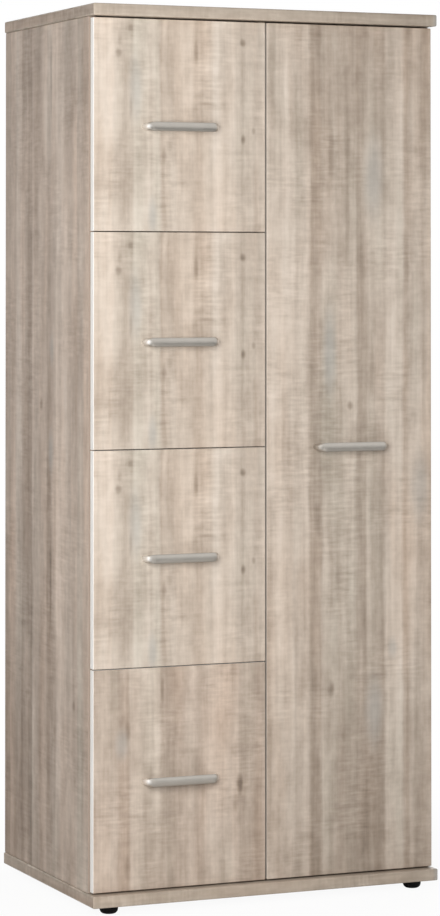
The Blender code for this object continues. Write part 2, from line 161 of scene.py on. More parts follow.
class Nodes:
    """A node tree and the ways to add to it."""

    def __init__(self, node_tree: bpy.types.NodeTree) -> None:
        """Hold the tree."""
        self.nodes, self.links = node_tree.nodes, node_tree.links

    def node(self, kind: str, settings: dict, inputs: dict, output: int | str = 0) -> Wire:
        """Add one node.

        Args:
            kind: Blender's type name of the node.
            settings: Its properties, set first; "stops" are a ramp's positions and linear colours.
            inputs: Values or wires by the number or name of the socket.
            output: The number or name of the socket to hand back.

        Returns:
            That output.
        """
        made = self.nodes.new(kind)
        for key, value in settings.items():
            if key == "stops":
                elements = made.color_ramp.elements
                while len(elements) < len(value):
                    elements.new(0.5)
                for element, (position, colour) in zip(elements, value):
                    element.position, element.color = position, colour
            else:
                setattr(made, key, value)
        for key, value in inputs.items():
            if isinstance(value, Wire):
                self.links.new(value.socket, made.inputs[key])
            else:
                made.inputs[key].default_value = value
        return Wire(self, made.outputs[output])

    def vector(self, operation: str, first: Wire, *others: "Wire | Point", output: int | str = 0) -> Wire:
        """Add one Vector Math node.

        Args:
            operation: Blender's name of the operation.
            first: The first operand.
            others: The other ones.
            output: The number or name of the socket to hand back.

        Returns:
            The node's result.
        """
        return self.node(
            "ShaderNodeVectorMath", {"operation": operation}, dict(enumerate([first, *others])), output
        )

    def place(self, offset: Point = (0.0, 0.0, 0.0)) -> Wire:
        """The surface point in object coordinates, in metres, from an offset."""
        point = self.node("ShaderNodeTexCoord", {}, {}, "Object")
        return self.vector("SUBTRACT", point, offset) if any(offset) else point

    def noise(self, point: Wire, scale: Point, detail: float, shift: float = 0.0) -> Wire:
        """Stretched noise about zero.

        Args:
            point: Where it is read.
            scale: Features per metre along each axis.
            detail: Octaves.
            shift: Moves the noise, so that two uses differ.

        Returns:
            The noise, mostly from -0.25 to 0.25.
        """
        spot = self.vector("MULTIPLY_ADD", point, scale, (shift, shift * 1.7, shift * 0.6))
        return self.node("ShaderNodeTexNoise", {}, {"Vector": spot, "Scale": 1.0, "Detail": detail}, "Fac") - 0.5

    def swirl(self, point: Wire, scale: Point, detail: float, shift: float) -> Wire:
        """Stretched noise as a vector, with each part about 0.5; the arguments are those of noise."""
        spot = self.vector("MULTIPLY_ADD", point, scale, (shift,) * 3)
        return self.node("ShaderNodeTexNoise", {}, {"Vector": spot, "Scale": 1.0, "Detail": detail}, "Color")

    def facing(self, way: Point, low: float, high: float) -> Wire:
        """Whether the surface looks along a way: 0 under the low cosine between them, and 1 over the high one."""
        normal = self.node("ShaderNodeTexCoord", {}, {}, "Normal")
        return self.vector("DOT_PRODUCT", normal, way, output="Value").step(low, high)

    def mix(
        self, factor: "Wire | float", first: "Wire | Linear", second: "Wire | Linear", blend: str = "MIX"
    ) -> Wire:
        """Blend two colours.

        Args:
            factor: Share of the second.
            first: The colour underneath.
            second: The colour on top.
            blend: Blender's name of the blend.

        Returns:
            The blended colour.
        """
        settings = {"data_type": "RGBA", "blend_type": blend, "clamp_factor": True}
        return self.node("ShaderNodeMix", settings, {0: factor, 6: first, 7: second}, 2)

    def ramp(self, value: Wire, stops: list[tuple[float, Linear]]) -> Wire:
        """A colour ramp of linear colours."""
        return self.node("ShaderNodeValToRGB", {"stops": stops}, {0: value})


class Tree(Nodes):
    """One material and the nodes that its finish is made of."""

    def __init__(self, name: str, roughness: float = 0.5, metallic: float = 0.0) -> None:
        """Start a material with a Principled shader.

        Args:
            name: The material's name.
            roughness: The shader's roughness, where no wire sets it.
            metallic: 1 for a metal.
        """
        self.material = bpy.data.materials.new(name)
        self.material.use_nodes = True
        super().__init__(self.material.node_tree)
        self.shader = self.nodes["Principled BSDF"]
        self.shader.inputs["Roughness"].default_value = roughness
        self.shader.inputs["Metallic"].default_value = metallic

    def wear(self, colour: Wire, height: "Wire | None" = None, depth: float = 0.0, **others: Wire) -> None:
        """Connect what varies over the surface to the shader.

        Args:
            colour: Base colour.
            height: Relief from -1 to 1, if any.
            depth: Height of that relief in metres.
            others: Wires for Roughness and the like, by socket name.
        """
        self.links.new(colour.socket, self.shader.inputs["Base Color"])
        for name, wire in others.items():
            self.links.new(wire.socket, self.shader.inputs[name])
        if height is not None:
            bump = self.node("ShaderNodeBump", {}, {"Height": height, "Strength": 1.0, "Distance": depth}, "Normal")
            self.links.new(bump.socket, self.shader.inputs["Normal"])


class Grain(Enum):
    """Which way a decor's grain runs: the number of the axis along it, and of the one across it."""

    FRONT = (2, 0)
    SIDE = (2, 1)
    LENGTHWISE = (0, 1)
    DEPTHWISE = (1, 2)

    def scale(self, across: float, along: float) -> Point:
        """Features per metre on each axis, from those across and along the grain."""
        return tuple(along if axis == self.value[0] else across for axis in range(3))


@dataclass(frozen=True)
class Plank:
    """One printed plank of the decor: where it starts across the grain, its tone and its warmth, both -1 to 1."""

    start: float
    tone: float
    warmth: float = 0.0


@dataclass(frozen=True)
class Mark:
    """A knot, streak or patch in the print, or a broad darker area: its middle and half sizes across and along the
    grain, and its depth.

    The depth is how much darker its middle is, in the tone's own units. Under 0 it is a pale streak.
    """

    across: float
    along: float
    half_width: float
    half_length: float
    depth: float = 0.6


@dataclass(frozen=True)
class Layer:
    """One noise of a finish: features per metre across and along the grain, octaves, shift and weight."""

    across: float
    along: float
    octaves: int
    shift: float = 0.0
    weight: float = 1.0

    def read(self, place: Wire, grain: Grain, shift: float = 0.0, width: float = 1.0) -> Wire:
        """The noise about zero, not yet weighted.

        Args:
            place: Where it is read.
            grain: Which way the grain runs.
            shift: Moves the noise further, so that two boards differ.
            width: How many times wider than usual its features are.

        Returns:
            The noise, mostly from -0.25 to 0.25.
        """
        scale = grain.scale(self.across / width, self.along)
        return place.tree.noise(place, scale, self.octaves, shift + self.shift)


@dataclass(frozen=True)
class OakDecor:
    """Grey-beige oak print with planks, vertical grain, saw marks and knots.

    The place that is read sways by some millimetres, so that no line is quite straight. The tone there is the
    plank's, plus the layers from BROAD to FIBRES, plus saw cuts across the grain, less the marks. A ramp turns the
    tone into a colour, which is made warmer or cooler by the plank and by the layer HUE. The cool marks and the
    edge's own colour lie on top.

    Attributes:
        name: The material's name.
        grain: Which way the grain runs.
        planks: The planks in order across the grain.
        reach: Where the first plank starts and the last one ends.
        marks: Places that are darker, or paler.
        cool_marks: Places where the print is grey, and painted grey shade at the boards' right ends.
        origin: The place along the grain that the print is measured from.
        shift: Moves the noise, so that two boards differ.
        shade: Lighter (positive) or darker than the decor's middle tone.
        contrast: Strength of the two broad layers.
        tint: Shares of red, green and blue, in linear light.
        plank_depth: How much the planks' tones count.
        fine: Strength of the fine layers and the saw cuts.
        band_width: How many times wider than usual the bands and streaks are.
        edge_way: The way that the edge looks which has a colour of its own.
        edge: That colour, if it has one.
    """

    name: str
    grain: Grain
    planks: tuple[Plank, ...]
    reach: tuple[float, float]
    marks: tuple[Mark, ...] = ()
    cool_marks: tuple[Mark, ...] = ()
    origin: float = 0.0
    shift: float = 0.0
    shade: float = 0.0
    contrast: float = 1.0
    tint: Point = (1.0, 1.0, 1.0)
    plank_depth: float = 0.13
    fine: float = 0.75
    band_width: float = 1.0
    edge_way: Point = (0.0, -1.0, 0.0)
    edge: Colour | None = None

    BROAD = Layer(9, 1.3, 2, 0, 0.38)
    BANDS = Layer(38, 1.1, 3, 3, 0.52)
    STREAKS = Layer(110, 3.5, 2, 7, 0.24)
    BLOTCHES = Layer(34, 16, 3, 5, 0.34)
    MOTTLE = Layer(75, 60, 3, 21, 0.20)
    FIBRES = Layer(480, 36, 2, 11, 0.08)
    PATCHES = Layer(9, 7, 2, 13)
    SAW = Layer(9, 70, 2, 17, 0.8)
    SCRATCHES = Layer(26, 150, 2, 19)
    HUE = Layer(16, 2.0, 2, 23, 2.2)
    SWAY = Layer(7, 3, 3, weight=0.010)
    SWAY_BACK = -0.006
    RIPPLE = Layer(45, 16, 2, weight=0.005)
    RIPPLE_BACK = -0.0015
    CUT_WEIGHT = 0.40
    CUT_PATCH = (-0.10, 0.16)
    CUT_BETWEEN = 0.3
    WARMTH_WEIGHT = 0.8
    MIDDLE_TONE = 0.58
    SOFT_EDGE = 0.004
    SPOT_RIM = 1.15
    SPOT_CORE = 0.15
    SPOT_GAIN = 1.15
    TONES = (
        (0.0, (106, 93, 82)),
        (0.22, (146, 132, 118)),
        (0.45, (179, 165, 151)),
        (0.62, (202, 189, 175)),
        (0.80, (220, 208, 195)),
        (1.0, (233, 224, 212)),
    )
    WARM = (1.035, 0.965, 0.915, 1.0)
    COOL = (0.93, 0.985, 0.985, 1.0)
    GREY = (164, 166, 164)
    EDGE_TURN = (0.3, 0.6)
    ROUGHNESS = 0.50
    SPECULAR = 0.35
    CUT_SHEEN = 0.12
    RELIEF = 0.00025
    FIBRE_RELIEF = 0.5
    CUT_RELIEF = 0.8
    STREAK_RELIEF = 0.3

    def _tinted(self, colour: Colour) -> Linear:
        """A colour in linear light, times this decor's tint."""
        return (*(value * share for value, share in zip(linear(colour), self.tint)), 1.0)

    def _places(self, tree: Tree) -> tuple[Wire, Wire]:
        """The places that the noises are read at.

        Each of two noises, a slow one and a quick one, is a vector times its weight in metres, less about half of
        it. Their sum moves the point.

        Args:
            tree: The material's tree.

        Returns:
            The surface point from the origin, and the same point swayed.
        """
        offset = [0.0, 0.0, 0.0]
        offset[self.grain.value[0]] = self.origin
        point = tree.place(tuple(offset))
        moves = []
        for layer, back in ((self.SWAY, self.SWAY_BACK), (self.RIPPLE, self.RIPPLE_BACK)):
            swirl = tree.swirl(point, self.grain.scale(layer.across, layer.along), layer.octaves, self.shift)
            moves.append(tree.vector("MULTIPLY_ADD", swirl, (layer.weight,) * 3, (back,) * 3))
        return point, tree.vector("ADD", point, tree.vector("ADD", *moves))

    def _noise(self, place: Wire, layer: Layer, width: float = 1.0) -> Wire:
        """One layer along this decor's grain, moved by its shift."""
        return layer.read(place, self.grain, self.shift, width)

    def _planks(self, tree: Tree, across: Wire) -> tuple[Wire, Wire]:
        """Tone and warmth of the plank at a place across the grain.

        Both are the red and green of one ramp, which is even along a plank and turns softly between two.

        Args:
            tree: The material's tree.
            across: Place across the grain in metres.

        Returns:
            Tone and warmth, from -1 to 1.
        """
        low, high = self.reach
        stops = []
        for number, plank in enumerate(self.planks):
            colour = ((plank.tone + 1) / 2, (plank.warmth + 1) / 2, 0.0, 1.0)
            start = (plank.start + self.SOFT_EDGE - low) / (high - low) if number else 0.0
            following = self.planks[number + 1].start if number + 1 < len(self.planks) else high
            end = (following - self.SOFT_EDGE - low) / (high - low)
            stops += [(start, colour), (max(end, start + 0.001), colour)]
        both = tree.ramp((across - low) / (high - low), stops)
        tone = tree.node("ShaderNodeSeparateColor", {}, {0: both}, "Red")
        return tone * 2.0 - 1.0, tone.beside("Green") * 2.0 - 1.0

    def _cuts(self, point: Wire) -> Wire:
        """Saw cuts and scratches across the grain: their sum, whole in patches and weaker between them.

        Args:
            point: The surface point.

        Returns:
            The cuts about zero.
        """
        patches = self._noise(point, self.PATCHES).step(*self.CUT_PATCH)
        saw = self._noise(point, self.SAW)
        scratches = self._noise(point, self.SCRATCHES)
        return (saw * self.SAW.weight + scratches) * (patches * (1 - self.CUT_BETWEEN) + self.CUT_BETWEEN)

    def _spots(self, tree: Tree, place: Wire, marks: tuple[Mark, ...]) -> "Wire | float":
        """Sum of soft ellipses, one for each mark.

        A mark's share is the eased fall of the distance from its middle, counted in its half sizes.

        Args:
            tree: The material's tree.
            place: The swayed surface point.
            marks: The marks.

        Returns:
            The sum, zero where there is none.
        """
        along_axis, across_axis = self.grain.value
        total = 0.0
        for mark in marks:
            size = [0.0, 0.0, 0.0]
            middle = [0.0, 0.0, 0.0]
            size[across_axis], size[along_axis] = 1 / mark.half_width, 1 / mark.half_length
            middle[across_axis] = -mark.across / mark.half_width
            middle[along_axis] = -mark.along / mark.half_length
            spot = tree.vector("MULTIPLY_ADD", place, tuple(size), tuple(middle))
            share = tree.vector("LENGTH", spot, output="Value").step(self.SPOT_RIM, self.SPOT_CORE)
            total = share * (mark.depth * self.SPOT_GAIN) + total
        return total

    def make(self) -> bpy.types.Material:
        """Make the decor.

        Returns:
            Its material.
        """
        tree = Tree(self.name, self.ROUGHNESS)
        tree.shader.inputs["Specular IOR Level"].default_value = self.SPECULAR
        point, swayed = self._places(tree)
        tone, warmth = self._planks(tree, tree.node("ShaderNodeSeparateXYZ", {}, {0: swayed}, self.grain.value[1]))
        streaks = self._noise(swayed, self.STREAKS, self.band_width)
        fibres = self._noise(point, self.FIBRES)
        cuts = self._cuts(point)
        level = (
            tone * self.plank_depth
            + self._noise(swayed, self.BROAD) * (self.BROAD.weight * self.contrast)
            + self._noise(swayed, self.BANDS, self.band_width) * (self.BANDS.weight * self.contrast)
            + streaks * (self.STREAKS.weight * self.fine)
            + self._noise(swayed, self.BLOTCHES) * self.BLOTCHES.weight
            + self._noise(point, self.MOTTLE) * (self.MOTTLE.weight * self.fine)
            + fibres * (self.FIBRES.weight * self.fine)
            + cuts * (self.CUT_WEIGHT * self.fine)
            + (self.MIDDLE_TONE + self.shade)
        )
        level = level - self._spots(tree, swayed, self.marks)
        colour = tree.ramp(level, [(position, self._tinted(stop)) for position, stop in self.TONES])
        hue = self._noise(swayed, self.HUE) * self.HUE.weight + warmth * self.WARMTH_WEIGHT
        colour = tree.mix(hue, colour, self.WARM, "MULTIPLY")
        colour = tree.mix(hue * -1.0, colour, self.COOL, "MULTIPLY")
        if self.cool_marks:
            colour = tree.mix(self._spots(tree, swayed, self.cool_marks), colour, linear(self.GREY))
        if self.edge:
            colour = tree.mix(tree.facing(self.edge_way, *self.EDGE_TURN), colour, linear(self.edge))
        relief = fibres * self.FIBRE_RELIEF + cuts * self.CUT_RELIEF + streaks * self.STREAK_RELIEF
        tree.wear(colour, relief, self.RELIEF, Roughness=self.ROUGHNESS - cuts * self.CUT_SHEEN)
        return tree.material


@dataclass(frozen=True)
class PlainDecor:
    """Plain matt foil inside the carcass, with faint grain; one side may be raw fibreboard.

    The colour is one tone plus weak noise stretched along the grain. Where the surface looks along the raw way it
    turns to brown fibres.
    """

    name: str
    grain: Grain
    colour: Colour
    depth: float = 0.10
    raw_way: Point | None = None

    STREAKS = Layer(60, 2.5, 3)
    FIBRES = Layer(380, 12, 2, 5, 0.7)
    CUTS = Layer(12, 170, 2, 9)
    GRAIN_WEIGHT = 5
    SHARES = (0.90, 1.07)
    ROUGHNESS = 0.58
    SHEEN = 0.2
    RELIEF = 0.00012
    CUT_RELIEF = 0.5
    RAW_FIBRES = Layer(260, 260, 4, 2, 2.0)
    RAW_TURN = (0.4, 0.6)
    RAW_DARK = (134, 104, 76)
    RAW_PALE = (166, 134, 102)

    def make(self) -> bpy.types.Material:
        """Make the foil.

        Returns:
            Its material.
        """
        tree = Tree(self.name, self.ROUGHNESS)
        point = tree.place()
        grain = self.STREAKS.read(point, self.grain) + self.FIBRES.read(point, self.grain) * self.FIBRES.weight
        cuts = self.CUTS.read(point, self.grain)
        tone = grain * (self.depth * self.GRAIN_WEIGHT) + cuts * self.depth + 0.5
        colour = tree.mix(tone, *(linear(toned(self.colour, share)) for share in self.SHARES))
        if self.raw_way:
            fibres = self.RAW_FIBRES.read(point, self.grain) * self.RAW_FIBRES.weight + 0.5
            raw = tree.mix(fibres, linear(self.RAW_DARK), linear(self.RAW_PALE))
            colour = tree.mix(tree.facing(self.raw_way, *self.RAW_TURN), colour, raw)
        relief = grain + cuts * self.CUT_RELIEF
        tree.wear(colour, relief, self.RELIEF, Roughness=self.ROUGHNESS + grain * self.SHEEN)
        return tree.material


@dataclass(frozen=True)
class Band:
    """Plastic edge band: nearly even colour, faint streaks along it and a soft sheen."""

    name: str
    colour: Colour
    roughness: float = 0.42

    WHITE = (252, 250, 246)
    SPECKS = Layer(90, 30, 3, weight=1.6)
    GRAIN = Layer(700, 200, 2, 4)
    MIDDLE = 0.6
    DARK_SHARE = 0.95
    SHEEN = 0.15
    RELIEF = 0.00006

    def make(self) -> bpy.types.Material:
        """Make the band.

        Returns:
            Its material.
        """
        tree = Tree(self.name, roughness=self.roughness)
        point = tree.place()
        specks = self.SPECKS.read(point, Grain.FRONT)
        grain = self.GRAIN.read(point, Grain.FRONT)
        tone = specks * self.SPECKS.weight + self.MIDDLE
        colour = tree.mix(tone, linear(toned(self.colour, self.DARK_SHARE)), linear(self.colour))
        tree.wear(colour, grain, self.RELIEF, Roughness=self.roughness + specks * self.SHEEN)
        return tree.material


@dataclass(frozen=True)
class Metal:
    """Satin or bright metal with fine brush lines along X.

    The brush lines are noise drawn out along X; they vary the roughness, the relief and a little of the colour.
    Where the surface's rim attribute rises to 1 the metal is darker by the rim share, painted shade for the dark
    reflections along a bar's upper and lower edges; where it falls under 0 the metal is painted pale, a painted
    highlight.
    """

    name: str
    colour: Colour
    roughness: float
    brush: Layer = Layer(2400, 60, 3, weight=1.2)
    relief: float = 0.00002
    # Share darker where the rim value is 1: painted shade.
    rim: float = 0.25

    SMUDGES = Layer(40, 40, 3, 6, 0.8)
    MIDDLE = 0.6
    DARK_SHARE = 0.90
    BRUSH_SHEEN = 0.25
    SMUDGE_SHEEN = 0.12
    # Where the rim value turns to painted shade, where it turns to a painted highlight, and that highlight's colour.
    RIM_SHADE_RISE = (0.35, 1.0)
    PAINTED_HIGHLIGHT_RISE = (-0.1, -0.8)
    PAINTED_HIGHLIGHT_COLOUR = (243, 240, 236)

    def make(self) -> bpy.types.Material:
        """Make the metal.

        Returns:
            Its material.
        """
        tree = Tree(self.name, self.roughness, 1.0)
        point = tree.place()
        lines = self.brush.read(point, Grain.LENGTHWISE)
        smudges = self.SMUDGES.read(point, Grain.LENGTHWISE)
        tone = lines * self.brush.weight + smudges * self.SMUDGES.weight + self.MIDDLE
        colour = tree.mix(tone, linear(toned(self.colour, self.DARK_SHARE)), linear(self.colour))
        edge = tree.node("ShaderNodeAttribute", {"attribute_name": "rim"}, {}, "Fac")
        # Painted shade where the rim value is high, then a painted highlight in pale colour where it is under 0.
        colour = tree.mix(edge.step(*self.RIM_SHADE_RISE), colour, (1.0 - self.rim,) * 3 + (1.0,), "MULTIPLY")
        colour = tree.mix(edge.step(*self.PAINTED_HIGHLIGHT_RISE), colour, linear(self.PAINTED_HIGHLIGHT_COLOUR))
        roughness = self.roughness + lines * self.BRUSH_SHEEN + smudges * self.SMUDGE_SHEEN
        tree.wear(colour, lines, self.relief, Roughness=roughness)
        return tree.material


@dataclass(frozen=True)
class Moulded:
    """Moulded plastic: even colour, fine spark-eroded grain and faint flow marks."""

    name: str
    colour: Colour
    roughness: float = 0.45
    specular: float = 0.5

    GRAIN = Layer(1500, 1500, 2)
    FLOW = Layer(45, 20, 3, 8, 1.5)
    MIDDLE = 0.6
    DARK_SHARE = 0.90
    SHEEN = 0.2
    RELIEF = 0.00004

    def make(self) -> bpy.types.Material:
        """Make the plastic.

        Returns:
            Its material.
        """
        tree = Tree(self.name, self.roughness)
        tree.shader.inputs["Specular IOR Level"].default_value = self.specular
        point = tree.place()
        grain = self.GRAIN.read(point, Grain.FRONT)
        flow = self.FLOW.read(point, Grain.FRONT)
        tone = flow * self.FLOW.weight + self.MIDDLE
        colour = tree.mix(tone, linear(toned(self.colour, self.DARK_SHARE)), linear(self.colour))
        tree.wear(colour, grain, self.RELIEF, Roughness=self.roughness + flow * self.SHEEN)
        return tree.material


@dataclass
class Surface:
    """A mesh in the making.

    It holds points (n, 3), faces as lists of point numbers, the finish number of each face, and for each point how
    near it lies to a rim, from 0 to 1, which a finish may read as painted shade. Under 0 that value marks a painted
    highlight.
    """

    points: np.ndarray
    faces: list[list[int]]
    finishes: list[int] = field(default_factory=list)
    rim: np.ndarray | None = None

    def moved(self, by: Point) -> "Surface":
        """The surface somewhere else."""
        return Surface(self.points + np.array(by), self.faces, self.finishes, self.rim)

    def finished(self, number: int) -> "Surface":
        """The surface with one finish number on every face."""
        return Surface(self.points, self.faces, [number] * len(self.faces), self.rim)

    def bored(self, mark: int, centres: list[Point], radius: float, depth: float, count: int = 32) -> "Surface":
        """The surface with round blind holes along Y in the one face that has a finish number.

        The face is filled again round circles of points, each circle is carried inwards by the depth as a wall,
        and a fan closes the wall's end.

        Args:
            mark: Finish number of the face, whose outside looks towards +Y.
            centres: Middles of the holes on that face.
            radius: Radius of the holes.
            depth: Their depth.
            count: Points round a hole.

        Returns:
            The new surface, the walls with the same finish number as the face.
        """
        position = self.finishes.index(mark)
        faces, finishes = list(self.faces), list(self.finishes)
        corners = faces.pop(position)
        finishes.pop(position)
        circle = outline(radius, radius, 2, count)
        loops, points, numbers = [[Vector(self.points[i]) for i in corners]], [self.points], list(corners)
        size = len(self.points)
        for centre in centres:
            rim = np.array(centre) + np.stack([circle[:, 1], np.zeros(count), circle[:, 0]], -1)
            floor = rim - (0, depth, 0)
            first = size + np.arange(count)
            second = first + count
            middle = size + 2 * count
            points += [rim, floor, np.array([centre]) - (0, depth, 0)]
            size += 2 * count + 1
            loops.append([Vector(point) for point in rim])
            numbers += first.tolist()
            walls = np.stack([first, np.roll(first, -1), np.roll(second, -1), second], -1).tolist()
            fan = [[middle, int(a), int(b)] for a, b in zip(second, np.roll(second, -1))]
            faces += walls + fan
            finishes += [mark] * (len(walls) + len(fan))
        everything = np.concatenate(points)
        for triangle in tessellate_polygon(loops):
            a, b, c = (numbers[i] for i in triangle)
            turn = np.cross(everything[b] - everything[a], everything[c] - everything[a])
            faces.append([a, b, c] if turn[1] > 0 else [a, c, b])
            finishes.append(mark)
        return Surface(everything, faces, finishes)


def joined(shells: list[Surface]) -> Surface:
    """Put several surfaces together, each still its own shell.

    Args:
        shells: The surfaces.

    Returns:
        The one surface, with a rim value of 0 on the shells that had none.
    """
    starts = np.cumsum([0] + [len(shell.points) for shell in shells[:-1]])
    faces = [[int(i + start) for i in face] for shell, start in zip(shells, starts) for face in shell.faces]
    finishes = [mark for shell in shells for mark in (shell.finishes or [0] * len(shell.faces))]
    rims = [np.zeros(len(shell.points)) if shell.rim is None else shell.rim for shell in shells]
    return Surface(np.concatenate([shell.points for shell in shells]), faces, finishes, np.concatenate(rims))


class Side(IntEnum):
    """A side of an upright box by its number: its axis times 2, plus 1 on the high side."""

    LEFT = 0
    RIGHT = 1
    FRONT = 2
    BACK = 3
    UNDER = 4
    TOP = 5


EDGES = (Side.LEFT, Side.RIGHT, Side.UNDER, Side.TOP)


def rounded_box(low: Point, high: Point, radius: float, faced: dict[Side, int], steps: int = 3) -> Surface:
    """A board with rounded edges.

    Each side is a grid of two parameters. A grid point lies on the sharp box; it is drawn towards its nearest
    point of the inner box, which is smaller by the radius all round, until it is one radius away from it. The
    grid lines beside an edge stand at the tangents of equal angles, so the rounding has equal facets.

    Args:
        low: Lowest corner.
        high: Highest corner.
        radius: Radius of the edges.
        faced: Finish number of a side's flat field, by side.
        steps: Facets in an eighth of a turn.

    Returns:
        The closed surface; every face outside the named fields has finish 0.
    """
    low, high = np.array(low, float), np.array(high, float)
    tangents = radius * np.tan(np.linspace(math.pi / 4, 0, steps + 1))
    points, faces, finishes, count = [], [], [], 0
    for axis in range(3):
        first, second = (axis + 1) % 3, (axis + 2) % 3
        lines = [
            np.concatenate([low[a] + radius - tangents, (high[a] - radius + tangents)[::-1]]) for a in (first, second)
        ]
        u, v = np.meshgrid(*lines, indexing="ij")
        for upper in (0, 1):
            sharp = np.empty(u.shape + (3,))
            sharp[..., axis] = high[axis] if upper else low[axis]
            sharp[..., first], sharp[..., second] = u, v
            inner = np.clip(sharp, low + radius, high - radius)
            away = sharp - inner
            out = inner + radius * away / np.linalg.norm(away, axis=-1, keepdims=True)
            index = count + np.arange(u.size).reshape(u.shape)
            quads = np.stack([index[:-1, :-1], index[1:, :-1], index[1:, 1:], index[:-1, 1:]], -1)
            if not upper:
                quads = quads[..., ::-1]
            marks = np.zeros(quads.shape[:2], int)
            marks[steps, steps] = faced.get(axis * 2 + upper, 0)
            points.append(out.reshape(-1, 3))
            faces.append(quads.reshape(-1, 4))
            finishes.append(marks.ravel())
            count += u.size
    points, faces = np.concatenate(points), np.concatenate(faces)
    _, keep, merged = np.unique(np.round(points, 8), axis=0, return_index=True, return_inverse=True)
    return Surface(points[keep], merged.ravel()[faces].tolist(), np.concatenate(finishes).tolist())


def swept(rings: np.ndarray, closed: bool = False) -> Surface:
    """A skin through rings of points: a profile carried along a path, with a fan over each open end.

    Args:
        rings: Points of each ring, shaped (rings, points, 3), anticlockwise as seen from where the path goes.
        closed: Whether the last ring joins the first.

    Returns:
        The surface, faces outwards.
    """
    rings = np.asarray(rings, float)
    count, points = rings.shape[:2]
    index = np.arange(count * points).reshape(count, points)
    start, end = (index, np.roll(index, -1, 0)) if closed else (index[:-1], index[1:])
    quads = np.stack([start, np.roll(start, -1, 1), np.roll(end, -1, 1), end], -1).reshape(-1, 4).tolist()
    flat = rings.reshape(-1, 3)
    if not closed:
        flat = np.concatenate([flat, rings[[0, -1]].mean(1)])
        near, far = count * points, count * points + 1
        quads += [[near, int(b), int(a)] for a, b in zip(index[0], np.roll(index[0], -1))]
        quads += [[far, int(a), int(b)] for a, b in zip(index[-1], np.roll(index[-1], -1))]
    return Surface(flat, quads)


def outline(half_first: float, half_second: float, power: float = 2.0, count: int = 48) -> np.ndarray:
    """Points of a superellipse about the origin.

    Each point is the half sizes times the cosine and sine of the turn, raised to two over the power with the sign
    kept: 2 is an ellipse, and higher powers come close to a rectangle with round corners.

    Args:
        half_first: Half size along the first direction.
        half_second: Half size along the second.
        power: The power.
        count: Number of points.

    Returns:
        The points, shaped (count, 2), anticlockwise.
    """
    turn = (np.arange(count) + 0.5) * 2 * math.pi / count
    wave = np.stack([np.cos(turn), np.sin(turn)], -1)
    return np.sign(wave) * np.abs(wave) ** (2 / power) * (half_first, half_second)


def ring(
    half_first: float,
    half_second: float,
    level: float,
    axis: int,
    power: float = 2.0,
    middle: tuple[float, float] = (0.0, 0.0),
) -> np.ndarray:
    """A superellipse across an axis, at a level along it.

    Args:
        half_first: Half size along the axis that follows this one in the order X, Y, Z, X.
        half_second: Half size along the one after that.
        level: Place along the axis.
        axis: The axis.
        power: The superellipse's power.
        middle: Its middle along those two.

    Returns:
        The points, shaped (48, 3), anticlockwise about the axis.
    """
    flat = outline(half_first, half_second, power) + middle
    points = np.full((len(flat), 3), float(level))
    points[:, (axis + 1) % 3], points[:, (axis + 2) % 3] = flat.T
    return points


def turned(profile: Sequence[tuple[float, float]], centre: Point, axis: int = 2, sign: int = 1) -> Surface:
    """A surface of revolution: a profile of radius and height carried round an axis.

    Args:
        profile: Radius and height of each ring, from the base upwards on the outside.
        centre: Where the profile's zero height lies.
        axis: The axis it turns about.
        sign: 1 where the height grows along the axis, -1 where it grows against it.

    Returns:
        The closed surface, faces outwards.
    """
    rows = [ring(radius, radius, sign * height, axis) for radius, height in profile]
    return swept(np.array(rows[::sign]) + np.array(centre, float))


def screw_head(centre: Point, axis: int, sign: int, radius: float) -> Surface:
    """A low domed screw head with a round recess.

    Args:
        centre: Middle of its seat.
        axis: The axis it points along.
        sign: 1 along that axis, -1 against it.
        radius: Radius of the head.

    Returns:
        The surface.
    """
    shares = ((1.0, 0.0), (1.0, 0.10), (0.90, 0.26), (0.66, 0.37), (0.40, 0.41), (0.34, 0.38), (0.30, 0.12))
    return turned([(radius * across, radius * up) for across, up in shares], centre, axis, sign)


